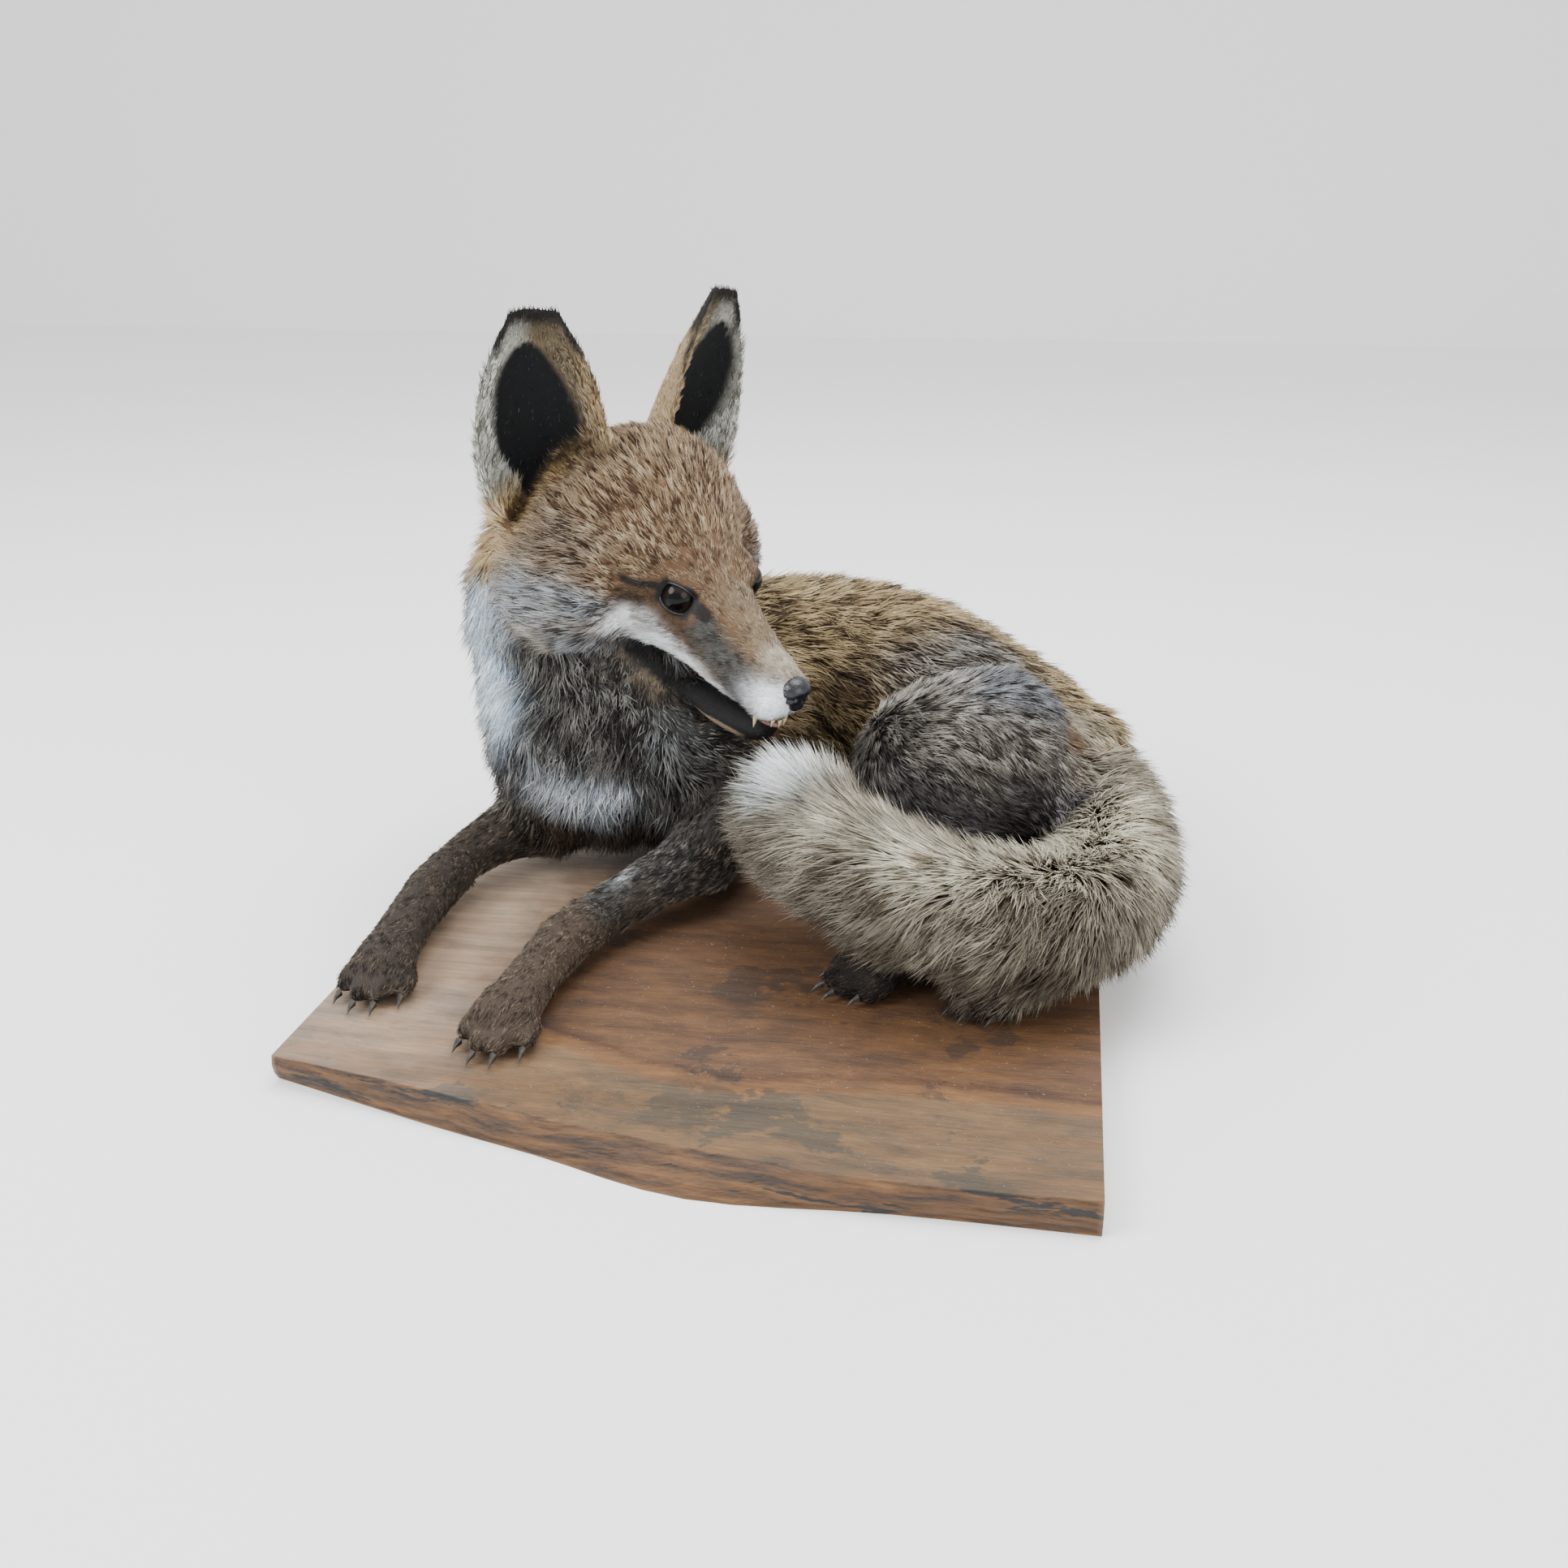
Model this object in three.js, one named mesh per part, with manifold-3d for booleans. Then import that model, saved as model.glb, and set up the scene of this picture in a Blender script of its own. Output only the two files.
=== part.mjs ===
// A stuffed red fox at life size, lying with its head up on a live-edge board.
// Millimetres, +Z up. The origin is the middle of the board's underside, +X runs
// along the board, and the chest faces -Y. Left and right are the animal's own.

import * as THREE from "three";
import { mergeVertices } from "three/addons/utils/BufferGeometryUtils.js";
import Module from "manifold-3d";

const wasm = await Module();
wasm.setup();

// ---------------------------------------------------------------- driving sizes

const BOARD = { halfLength: 185, back: 234, thick: 15 };
const GAP = 0.35; // clearance between neighbouring solids
const FLOOR = BOARD.thick + GAP; // the lowest that the animal reaches

const HEAD = { at: [-31, 57, 184], yaw: -33, pitch: 18.5, roll: 2.7, scale: 1.08 };
const EYE = {
  radius: 9.4,
  right: [-2, -17, -1],
  left: [1, 23.5, 0.5],
  faces: [0.58, 0.8, 0.14], // the way the left one looks
  lid: 1.4,
};
const EAR = { height: 112, halfWidth: 31, thick: 3.4, root: [-64, 50, 4] };
const MUZZLE_TIP = 75; // from between the eyes to the front of the nose
const TOOTH = { radius: 2, length: 11, at: [52, 10.5, -44] };
const TOE = { length: 21, halfWidth: 6.2, halfHeight: 6.6, fan: 0.08 };
const CLAW = { length: 7, radius: 2.2, droop: 3, height: 4.7 };

// ---------------------------------------------------------------- solids

const vec = (p) => new THREE.Vector3(p[0], p[1], p[2]);
const mix = THREE.MathUtils.lerp;

/** A closed geometry as a solid, with the vertices that its faces share merged. */
function solidOf(geometry) {
  const bare = geometry.clone();
  bare.deleteAttribute("normal");
  bare.deleteAttribute("uv");
  const merged = mergeVertices(bare, 1e-3);
  return new wasm.Manifold(
    new wasm.Mesh({
      numProp: 3,
      vertProperties: merged.attributes.position.array,
      triVerts: new Uint32Array(merged.index.array),
    }),
  );
}

/** Moves each vertex of a geometry by a function of its own position. */
function reshape(geometry, place) {
  const position = geometry.attributes.position;
  const point = new THREE.Vector3();
  for (let i = 0; i < position.count; i++) {
    point.fromBufferAttribute(position, i);
    const moved = place(point);
    position.setXYZ(i, moved.x, moved.y, moved.z);
  }
  return geometry;
}

/**
 * A rounded body through stations { at, wide, tall }: an ellipse of those half
 * sizes at each, square to the line through them, closed by a round cap at both
 * ends. `up` is the direction that the tall half size points to, `square` above 2
 * fills the ellipse's corners, and `grow` adds clearance all round.
 */
function body(stations, { up = [0, 0, 1], around = 18, rings = 14, square = 2, grow = 0 } = {}) {
  const line = new THREE.CatmullRomCurve3(stations.map((s) => vec(s.at)), false, "centripetal");
  const sizes = new THREE.CatmullRomCurve3(
    stations.map((s) => vec([s.wide, s.tall, 0])),
    false,
    "centripetal",
  );
  const length = line.getLength();
  const ends = [sizes.getPoint(0), sizes.getPoint(1)];
  const cap = ends.map((size) => Math.min(0.45, (0.5 * (size.x + size.y)) / length));
  const hint = vec(up);
  return reshape(new THREE.SphereGeometry(1, around, rings), (p) => {
    const t = THREE.MathUtils.clamp(0.5 - 0.5 * p.y, 0, 1);
    const radius = Math.hypot(p.x, p.z);
    const turn = Math.atan2(p.z, p.x);
    const before = Math.min(1, t / cap[0]);
    const after = Math.min(1, (1 - t) / cap[1]);
    const round = Math.sqrt(1 - (1 - before) ** 2) * Math.sqrt(1 - (1 - after) ** 2);
    const tangent = line.getTangent(t);
    const side = new THREE.Vector3().crossVectors(hint, tangent).normalize();
    const rise = new THREE.Vector3().crossVectors(tangent, side);
    const size = sizes.getPoint(t);
    const corner = (c) => Math.sign(c) * Math.abs(c) ** (2 / square);
    const share = radius < 1e-6 ? 0 : round;
    const reach = line.getPoint(t);
    reach.addScaledVector(side, corner(Math.cos(turn)) * (size.x + grow) * share);
    reach.addScaledVector(rise, corner(Math.sin(turn)) * (size.y + grow) * share);
    reach.addScaledVector(tangent, grow * (2 * t - 1) ** 9);
    return reach;
  });
}

const bodySolid = (stations, options) => solidOf(body(stations, options));

/** An ellipsoid with its half sizes along x, y and z, before `matrix`. */
function ball(at, half, { around = 12, rings = 8, matrix, grow = 0 } = {}) {
  const geometry = new THREE.SphereGeometry(1, around, rings);
  geometry.scale(half[0] + grow, half[1] + grow, half[2] + grow);
  geometry.translate(at[0], at[1], at[2]);
  if (matrix) geometry.applyMatrix4(matrix);
  return solidOf(geometry);
}

const join = (solids) => solids.reduce((sum, next) => sum.add(next));

/** The largest connected body of a solid, without the slivers that a cut leaves. */
function largest(solid) {
  return solid.decompose().reduce((best, next) => (next.volume() > best.volume() ? next : best));
}

/** The space under the board's top face, and a hair above it. */
function underFloor() {
  const slab = new THREE.BoxGeometry(1200, 1200, 200);
  slab.translate(0, 0, FLOOR - 100);
  return solidOf(slab);
}

const ground = underFloor();
const floored = (solid) => solid.subtract(ground);

// ---------------------------------------------------------------- head

const degrees = THREE.MathUtils.degToRad;
const headMatrix = new THREE.Matrix4()
  .makeRotationFromEuler(
    new THREE.Euler(degrees(HEAD.roll), degrees(HEAD.pitch), degrees(HEAD.yaw), "ZYX"),
  )
  .scale(new THREE.Vector3(HEAD.scale, HEAD.scale, HEAD.scale))
  .setPosition(...HEAD.at);

/** Stations of the skull and upper muzzle: x forward from between the eyes. */
const skullProfile = [
  { x: -98, top: 26, bottom: -30, wide: 40 },
  { x: -82, top: 52, bottom: -44, wide: 58 },
  { x: -62, top: 59, bottom: -50, wide: 67 },
  { x: -42, top: 53, bottom: -52, wide: 62 },
  { x: -24, top: 41, bottom: -48, wide: 48 },
  { x: -8, top: 28, bottom: -42, wide: 34 },
  { x: 8, top: 15.5, bottom: -40, wide: 24.5 },
  { x: 26, top: 5, bottom: -43, wide: 19 },
  { x: 46, top: -4.5, bottom: -42.5, wide: 15 },
  { x: 60, top: -10, bottom: -38.5, wide: 12.5 },
  { x: 70, top: -14, bottom: -33, wide: 9.5 },
];

/** The lower jaw, from inside the cheek to the chin. */
const jawProfile = [
  { x: -44, top: -36, bottom: -56, wide: 32 },
  { x: -20, top: -38, bottom: -54, wide: 29 },
  { x: 4, top: -42.5, bottom: -53, wide: 21 },
  { x: 28, top: -45.5, bottom: -57, wide: 14 },
  { x: 48, top: -45, bottom: -56, wide: 10 },
  { x: 62, top: -42, bottom: -51.5, wide: 7.5 },
];

const alongHead = (profile) =>
  profile.map((s) => ({
    at: [s.x, 0, (s.top + s.bottom) / 2],
    wide: s.wide,
    tall: (s.top - s.bottom) / 2,
  }));

const onBothSides = (make) => [-1, 1].map(make);

const eyeAt = (side) => (side > 0 ? EYE.left : EYE.right);

/** A canine tooth, joined to the upper jaw and pointing down outside the lower lip. */
function canine(side) {
  const cone = new THREE.ConeGeometry(TOOTH.radius, TOOTH.length, 6, 1);
  cone.rotateX(-Math.PI / 2);
  cone.translate(TOOTH.at[0], side * TOOTH.at[1], TOOTH.at[2]);
  return solidOf(cone.applyMatrix4(headMatrix));
}

function skull(grow) {
  const shell = body(alongHead(skullProfile), { around: 18, rings: 16, square: 2.25, grow });
  const matrix = headMatrix;
  const flesh = join([
    solidOf(shell.applyMatrix4(matrix)),
    ...onBothSides((s) => ball([-55, s * 42, -12], [41, 31, 40], { around: 12, matrix, grow })), // cheek
    ...onBothSides((s) => ball([-6, s * 15, 9], [20, 10.5, 9], { around: 8, rings: 6, matrix, grow })), // brow
    ...onBothSides((s) => ball([54, s * 8, -31], [15, 7.5, 9.5], { around: 8, rings: 6, matrix, grow })), // lip pad
    ...onBothSides(canine),
    ball(EYE.left, Array(3).fill(EYE.radius + EYE.lid), { around: 14, rings: 9, matrix, grow }), // proud lids
  ]);
  const sockets = onBothSides((s) => {
    const gaze = [EYE.faces[0], s * EYE.faces[1], EYE.faces[2]];
    const front = eyeAt(s).map((c, i) => c + gaze[i] * EYE.radius);
    const half = [8.2 - grow, 6.5 - grow, 6.8 - grow];
    return ball(front, half, { around: 10, rings: 6, matrix });
  });
  return flesh.subtract(join(sockets));
}

function lowerJaw(grow) {
  const shell = body(alongHead(jawProfile), { around: 12, rings: 9, square: 2.4, grow });
  return solidOf(shell.applyMatrix4(headMatrix));
}

function eye(side, grow) {
  const half = [EYE.radius, EYE.radius, EYE.radius];
  return ball(eyeAt(side), half, { around: 12, rings: 8, matrix: headMatrix, grow });
}

/** The leather of the nose: a blunt pad, wider at the top, with its slit's notch. */
function nose(grow) {
  const matrix = headMatrix;
  return join([
    ball([MUZZLE_TIP - 6.5, 0, -19], [6.5, 8.2, 6.2], { around: 10, rings: 6, matrix, grow }),
    ball([MUZZLE_TIP - 6, 0, -25], [5.2, 4.2, 5.5], { around: 8, rings: 5, matrix, grow }),
  ]);
}

// ---------------------------------------------------------------- ears

/** Half the ear's width, and half the angle that it wraps round, from root to tip. */
const earWidths = [15, 24, 30.5, 31.5, 28.3, 21.5, 11];
const earWraps = [150, 118, 92, 76, 66, 56, 40];

const alongCurve = (values, t) =>
  new THREE.SplineCurve(values.map((value, i) => new THREE.Vector2(i, value))).getPoint(t).y;

/** The middle of the ear's wall: u runs from rim to rim, v from the root to the tip. */
function earWall(u, v) {
  const wrap = degrees(alongCurve(earWraps, v));
  const width = alongCurve(earWidths, v);
  const radius = width / Math.sin(Math.min(wrap, Math.PI / 2));
  return vec([
    radius * (Math.cos(wrap) - Math.cos(u * wrap)) + 5 * v * v,
    radius * Math.sin(u * wrap),
    v * EAR.height - 9 * u * u * (1 - v),
  ]);
}

/** A slab bent into a cup, whose hollow opens forwards, posed on the head. */
function ear(side, { lean, splay, turn }, grow) {
  const step = 1e-3;
  const slab = new THREE.BoxGeometry(2, 1, 1, 8, 8, 1);
  const bent = reshape(slab, (p) => {
    const u = p.x * (1 + grow / EAR.halfWidth);
    const v = THREE.MathUtils.clamp(p.y + 0.5, 0, 1);
    const wall = earWall(u, v);
    const alongU = earWall(u + step, v).sub(earWall(u - step, v));
    const alongV = earWall(u, Math.min(1, v + step)).sub(earWall(u, Math.max(0, v - step)));
    const outward = alongU.cross(alongV).normalize();
    const half = mix(1, 0.55, v) * (EAR.thick / 2) * (1 - 0.4 * p.x ** 8) + grow;
    wall.addScaledVector(outward, 2 * p.z * half);
    wall.z += grow * (2 * v - 1);
    return wall;
  });
  const pose = new THREE.Matrix4().makeRotationFromEuler(
    new THREE.Euler(degrees(-side * splay), degrees(-lean), degrees(side * turn), "ZYX"),
  );
  pose.setPosition(EAR.root[0], side * EAR.root[1], EAR.root[2]);
  return solidOf(bent.applyMatrix4(pose).applyMatrix4(headMatrix));
}

const rightEar = (grow) => ear(-1, { lean: 8, splay: 9.5, turn: 38 }, grow);
const leftEar = (grow) => ear(1, { lean: 10, splay: 7, turn: 13 }, grow);

// ---------------------------------------------------------------- neck and trunk

const neckLine = [
  { at: [-94, 66, 26], wide: 60, tall: 44 },
  { at: [-92, 66, 70], wide: 73, tall: 60 },
  { at: [-98, 78, 104], wide: 77, tall: 60 },
  { at: [-108, 96, 140], wide: 77, tall: 53 },
  { at: [-114, 108, 176], wide: 83, tall: 51 },
  { at: [-110, 114, 238], wide: 84, tall: 50 },
];

const trunkLine = [
  { at: [-92, 44, 92], wide: 66, tall: 48 },
  { at: [-78, 84, 92], wide: 74, tall: 64 },
  { at: [-48, 130, 92], wide: 72, tall: 77 },
  { at: [6, 164, 93], wide: 70, tall: 78 },
  { at: [64, 172, 88], wide: 70, tall: 73 },
  { at: [120, 156, 76], wide: 66, tall: 56 },
  { at: [159, 128, 69], wide: 54, tall: 44 },
  { at: [184, 98, 66], wide: 42, tall: 40 },
];

const neck = (grow) => bodySolid(neckLine, { up: [0, 1, 0], around: 18, rings: 11, grow });
const trunk = (grow) => bodySolid(trunkLine, { around: 18, rings: 16, square: 2.15, grow });

// ---------------------------------------------------------------- legs

/** A toe and the claw at its end, pointing along `heading` from its knuckle. */
function toeAt(knuckle, heading) {
  return { knuckle: vec(knuckle), forward: vec([Math.cos(heading), Math.sin(heading), 0]) };
}

/** The four toes of a paw: the middle pair reach further than the outer pair. */
function toesOf({ at, heading, spread }) {
  const turn = degrees(heading);
  return [-1.5, -0.5, 0.5, 1.5].map((step) => {
    const across = step * spread;
    const reach = -1.4 * step * step * 3;
    return toeAt(
      [
        at[0] + Math.cos(turn) * reach - Math.sin(turn) * across,
        at[1] + Math.sin(turn) * reach + Math.cos(turn) * across,
        at[2],
      ],
      turn + step * TOE.fan,
    );
  });
}

function toeSolid({ knuckle, forward }, grow) {
  const end = knuckle.clone().addScaledVector(forward, TOE.length);
  const stations = [
    { at: knuckle.toArray(), wide: TOE.halfWidth, tall: TOE.halfHeight + 0.8 },
    { at: [end.x, end.y, FLOOR + TOE.halfHeight - 0.6], wide: TOE.halfWidth * 0.9, tall: TOE.halfHeight },
  ];
  return bodySolid(stations, { around: 6, rings: 5, grow });
}

/** A curved cone from the toe's end down to the board. */
function clawSolid({ knuckle, forward }, grow) {
  const cone = new THREE.ConeGeometry(1, 1, 6, 2);
  const heading = Math.atan2(forward.y, forward.x);
  reshape(cone, (p) => {
    const along = p.y + 0.5;
    const x = along * CLAW.length + grow * (2 * along - 1);
    const radius = CLAW.radius + grow;
    return vec([x, -p.x * radius * 0.8, p.z * radius - CLAW.droop * along ** 2]);
  });
  cone.rotateZ(heading);
  const foot = knuckle.clone().addScaledVector(forward, TOE.length + TOE.halfWidth * 0.12);
  cone.translate(foot.x, foot.y, FLOOR + CLAW.height);
  return floored(solidOf(cone));
}

const forelegs = {
  left: {
    upper: [
      { at: [-34, 74, 66], wide: 34, tall: 40 },
      { at: [-22, 40, 47], wide: 25, tall: 29 },
      { at: [-44, 2, 39], wide: 17, tall: 17 },
      { at: [-66, -32, 34], wide: 15, tall: 15 },
      { at: [-73, -50, 33], wide: 14.5, tall: 14 },
    ],
    paw: [
      { at: [-62, -24, 35], wide: 14.5, tall: 14 },
      { at: [-79, -66, 32], wide: 15, tall: 14 },
      { at: [-83, -104, 29], wide: 13.5, tall: 12 },
      { at: [-86, -130, 27], wide: 17, tall: 12 },
      { at: [-86, -148, 25], wide: 15, tall: 9 },
    ],
    toes: { at: [-86, -138, 25], heading: -94, spread: 8.6 },
  },
  right: {
    upper: [
      { at: [-118, 86, 66], wide: 44, tall: 44 },
      { at: [-128, 66, 46], wide: 33, tall: 29 },
      { at: [-152, 44, 38], wide: 18, tall: 18 },
      { at: [-164, 18, 34], wide: 15, tall: 15 },
      { at: [-166, 0, 33], wide: 14.5, tall: 14 },
    ],
    paw: [
      { at: [-162, 26, 35], wide: 14.5, tall: 14 },
      { at: [-167, -22, 32], wide: 15, tall: 14 },
      { at: [-165, -66, 29], wide: 13.5, tall: 12 },
      { at: [-162, -96, 27], wide: 17, tall: 12 },
      { at: [-161, -114, 25], wide: 15, tall: 9 },
    ],
    toes: { at: [-161, -104, 25], heading: -88, spread: 8.6 },
  },
};

const hindFeet = {
  left: {
    paw: [
      { at: [158, 18, 34], wide: 15, tall: 17 },
      { at: [118, -24, 31], wide: 13, tall: 13 },
      { at: [80, -50, 27], wide: 16, tall: 12 },
      { at: [64, -62, 25], wide: 14, tall: 9 },
    ],
    toes: { at: [72, -58, 25], heading: -145, spread: 8.2 },
  },
  right: {
    paw: [
      { at: [196, 10, 34], wide: 15, tall: 17 },
      { at: [164, -32, 30], wide: 13, tall: 13 },
      { at: [142, -58, 27], wide: 16, tall: 12 },
      { at: [128, -70, 25], wide: 14, tall: 9 },
    ],
    toes: { at: [134, -66, 24], heading: -135, spread: 8 },
  },
};

const thighs = {
  left: [
    { at: [166, 112, 84], wide: 44, tall: 50 },
    { at: [128, 92, 84], wide: 56, tall: 58 },
    { at: [84, 68, 80], wide: 50, tall: 52 },
    { at: [50, 46, 72], wide: 30, tall: 38 },
  ],
  right: [
    { at: [150, 172, 46], wide: 40, tall: 34 },
    { at: [96, 208, 46], wide: 36, tall: 32 },
    { at: [52, 214, 44], wide: 28, tall: 28 },
  ],
};

/** The left hind leg from the knee back to the hock. */
const hindLeg = [
  { at: [56, 40, 58], wide: 24, tall: 28 },
  { at: [104, 30, 44], wide: 18, tall: 22 },
  { at: [152, 24, 38], wide: 16, tall: 19 },
];

// ---------------------------------------------------------------- tail

const tailLine = [
  { at: [168, 116, 76], wide: 36, tall: 40 },
  { at: [185, 66, 66], wide: 37, tall: 40 },
  { at: [186, -10, 59], wide: 39, tall: 41 },
  { at: [158, -60, 60], wide: 38, tall: 41 },
  { at: [113, -71, 69], wide: 38, tall: 38 },
  { at: [66, -48, 76], wide: 37, tall: 36 },
  { at: [29, -6, 84], wide: 35, tall: 34 },
  { at: [10, 24, 94], wide: 30, tall: 30 },
];

const tail = (grow) => bodySolid(tailLine, { around: 14, rings: 20, grow });

const tailCurve = new THREE.CatmullRomCurve3(tailLine.map((s) => vec(s.at)), false, "centripetal");

/** The place on the tail's line nearest to the middle of a solid: 0 at the root, 60 at the tip. */
function alongTail(solid) {
  const { min, max } = solid.boundingBox();
  const middle = vec(min).add(vec(max)).multiplyScalar(0.5);
  const away = tailCurve.getPoints(60).map((point) => point.distanceTo(middle));
  return away.indexOf(Math.min(...away));
}

/** Thin slabs square to the tail, which part it into lengths. */
function tailCuts() {
  return join(
    [1 / 3, 2 / 3].map((t) => {
      const slab = new THREE.BoxGeometry(120, 120, GAP);
      slab.lookAt(tailCurve.getTangent(t));
      const at = tailCurve.getPoint(t);
      slab.translate(at.x, at.y, at.z);
      return solidOf(slab);
    }),
  );
}

// ---------------------------------------------------------------- board

/** The front's natural edge: how far forward it bows along the board. */
const frontEdge = {
  top: [[-185, -168], [-113, -180], [-24, -198], [42, -206], [95, -212], [185, -210]],
  foot: [[-186, -163], [-106, -186], [-50, -200], [19, -218], [102, -213], [185, -212]],
};

function boardSolid() {
  const outline = (points) => new THREE.SplineCurve(points.map((p) => new THREE.Vector2(...p)));
  const edges = { top: outline(frontEdge.top), foot: outline(frontEdge.foot) };
  const slab = new THREE.BoxGeometry(1, 1, 1, 20, 1, 3);
  return solidOf(
    reshape(slab, (p) => {
      const along = p.x + 0.5;
      const high = p.z + 0.5;
      const x = mix(-BOARD.halfLength, BOARD.halfLength, along);
      if (p.y > 0) return vec([x, BOARD.back, high * BOARD.thick]);
      const top = edges.top.getPoint(along);
      const foot = edges.foot.getPoint(along);
      const belly = 2.2 * Math.sin(Math.PI * high);
      return vec([
        mix(foot.x, top.x, high),
        mix(foot.y, top.y, high) - belly,
        high * BOARD.thick,
      ]);
    }),
  );
}

// ---------------------------------------------------------------- assembly

const COLOURS = {
  fur_red: 0x9a6f45,
  fur_grey: 0x7d6f62,
  fur_pale: 0xc9bda6,
  fur_dark: 0x4a3d33,
  leather: 0x16171a,
  glass: 0x1a1410,
  horn: 0x8d8271,
  wood: 0xb07a52,
};
const ROUGHNESS = { glass: 0.08, leather: 0.45, horn: 0.5, wood: 0.6 };

/**
 * The parts in the order in which they keep their full form: each is cut back by
 * all those before it, grown by the gap. `make` takes that growth.
 */
const parts = [];
const add = (name, colour, make) => parts.push({ name, colour, make });

add("eye_right", "glass", (grow) => eye(-1, grow));
add("eye_left", "glass", (grow) => eye(1, grow));
add("nose", "leather", nose);
add("trunk", "fur_red", trunk);
add("neck", "fur_pale", neck);
add("head", "fur_red", skull);
add("lower_jaw", "fur_pale", lowerJaw);
add("ear_right", "fur_red", rightEar);
add("ear_left", "fur_red", leftEar);
for (const side of ["left", "right"]) {
  add(`thigh_${side}`, "fur_grey", (grow) =>
    bodySolid(thighs[side], { around: 16, rings: 11, grow }),
  );
  add(`foreleg_${side}`, "fur_dark", (grow) =>
    bodySolid(forelegs[side].upper, { around: 12, rings: 10, grow }),
  );
}
add("tail", "fur_pale", tail);
add("hindleg_left", "fur_dark", (grow) => bodySolid(hindLeg, { around: 12, rings: 8, grow }));
for (const [kind, feet] of [["forepaw", forelegs], ["hindfoot", hindFeet]]) {
  for (const side of ["left", "right"]) {
    const { paw, toes } = feet[side];
    const spread = toesOf(toes);
    add(`${kind}_${side}`, "fur_dark", (grow) =>
      join([
        bodySolid(paw, { around: 10, rings: 9, grow }),
        ...spread.map((toe) => toeSolid(toe, grow)),
      ]),
    );
    spread.forEach((toe, i) =>
      add(`claw_${kind}_${side}_${i + 1}`, "horn", (grow) => clawSolid(toe, grow)),
    );
  }
}

const fox = new THREE.Group();
fox.name = "fox_mount";

function addMesh(name, colour, solid) {
  const { numProp, vertProperties, triVerts } = solid.getMesh();
  const geometry = new THREE.BufferGeometry();
  const points = new Float32Array((vertProperties.length / numProp) * 3);
  for (let i = 0; i < points.length / 3; i++) {
    points.set(vertProperties.subarray(i * numProp, i * numProp + 3), i * 3);
  }
  geometry.setAttribute("position", new THREE.BufferAttribute(points, 3));
  geometry.setIndex(new THREE.BufferAttribute(triVerts, 1));
  geometry.computeVertexNormals();
  const material = new THREE.MeshStandardMaterial({
    color: COLOURS[colour],
    roughness: ROUGHNESS[colour] ?? 0.9,
    metalness: 0,
  });
  const mesh = new THREE.Mesh(geometry, material);
  mesh.name = name;
  fox.add(mesh);
}

addMesh("board", "wood", boardSolid());

let taken = null;
for (const { name, colour, make } of parts) {
  let solid = floored(make(0));
  if (taken) solid = solid.subtract(taken);
  if (name === "tail") {
    const lengths = solid.subtract(tailCuts()).decompose().filter((piece) => piece.volume() > 1e4);
    lengths.sort((a, b) => alongTail(a) - alongTail(b));
    lengths.forEach((piece, i) => addMesh(`tail_${["base", "middle", "end"][i]}`, colour, piece));
  } else {
    addMesh(name, colour, largest(solid));
  }
  const grown = make(GAP);
  taken = taken ? taken.add(grown) : grown;
}

export default fox;
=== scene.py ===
"""A life-size mounted red fox curled up on a slab of timber, its head turned back over its left side."""
import itertools
import math

import bmesh
import bpy
import numpy as np
from mathutils import Euler, Matrix, Vector
from mathutils.bvhtree import BVHTree
from mathutils.kdtree import KDTree


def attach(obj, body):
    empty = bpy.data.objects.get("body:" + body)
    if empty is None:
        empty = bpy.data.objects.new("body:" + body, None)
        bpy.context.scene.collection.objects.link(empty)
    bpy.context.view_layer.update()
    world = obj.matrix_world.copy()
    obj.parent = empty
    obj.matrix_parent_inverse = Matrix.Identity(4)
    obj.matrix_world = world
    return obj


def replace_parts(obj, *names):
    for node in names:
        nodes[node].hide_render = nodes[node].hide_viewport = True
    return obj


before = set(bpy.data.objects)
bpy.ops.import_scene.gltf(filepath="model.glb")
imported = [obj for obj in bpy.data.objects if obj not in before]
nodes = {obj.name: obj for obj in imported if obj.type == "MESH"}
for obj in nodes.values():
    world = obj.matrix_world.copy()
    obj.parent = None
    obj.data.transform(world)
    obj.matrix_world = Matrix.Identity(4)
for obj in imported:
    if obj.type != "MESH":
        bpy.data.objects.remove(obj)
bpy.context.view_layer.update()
MM = 0.001
SIDES = ((1, "left"), (-1, "right"))
chance = np.random.default_rng(20)  # every random draw comes from here

# ---------------- places taken from the fox's own build

HEAD_AT = Vector((-31, 57, 184)) * MM
HEAD_TURN = Euler((math.radians(2.7), math.radians(18.5), math.radians(-33))).to_matrix()
HEAD_SCALE = 1.08  # head sizes below are in head millimetres: x to the nose, y to the fox's left, z up
EYE_AT = {1: Vector((1, 23.5, 0.5)), -1: Vector((-2, -17, -1))}
EYE_RADIUS = 9.4
EYE_FACES = Vector((0.58, 0.8, 0.14)).normalized()
HEAD_FRAME = Matrix.Translation(HEAD_AT) @ HEAD_TURN.to_4x4() @ Matrix.Diagonal((HEAD_SCALE * MM,) * 3 + (1,))


def head_point(x, y, z):
    return HEAD_AT + HEAD_TURN @ (Vector((x, y, z)) * HEAD_SCALE * MM)


def in_head(points):
    """World points, in metres, as head millimetres."""
    return (points - np.array(HEAD_AT)) @ np.array(HEAD_TURN) / (HEAD_SCALE * MM)


def out_of_head(points):
    return points * (HEAD_SCALE * MM) @ np.array(HEAD_TURN).T + np.array(HEAD_AT)


def on_side(side, v):
    """A place or a way on the head's left side (1), or its mirror image (-1)."""
    return v[0], side * v[1], v[2]


def mirrored(q):
    """Places of the head, all folded onto its left side."""
    return q * [1, 0, 1] + np.abs(q) * [0, 1, 0]


# ---------------- small helpers for meshes held as arrays

def unit(v):
    return v / np.maximum(np.linalg.norm(v, axis=-1, keepdims=True), 1e-12)


def across(v, n):
    """v without the part that points along n."""
    return v - n * (v * n).sum(-1, keepdims=True)


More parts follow.
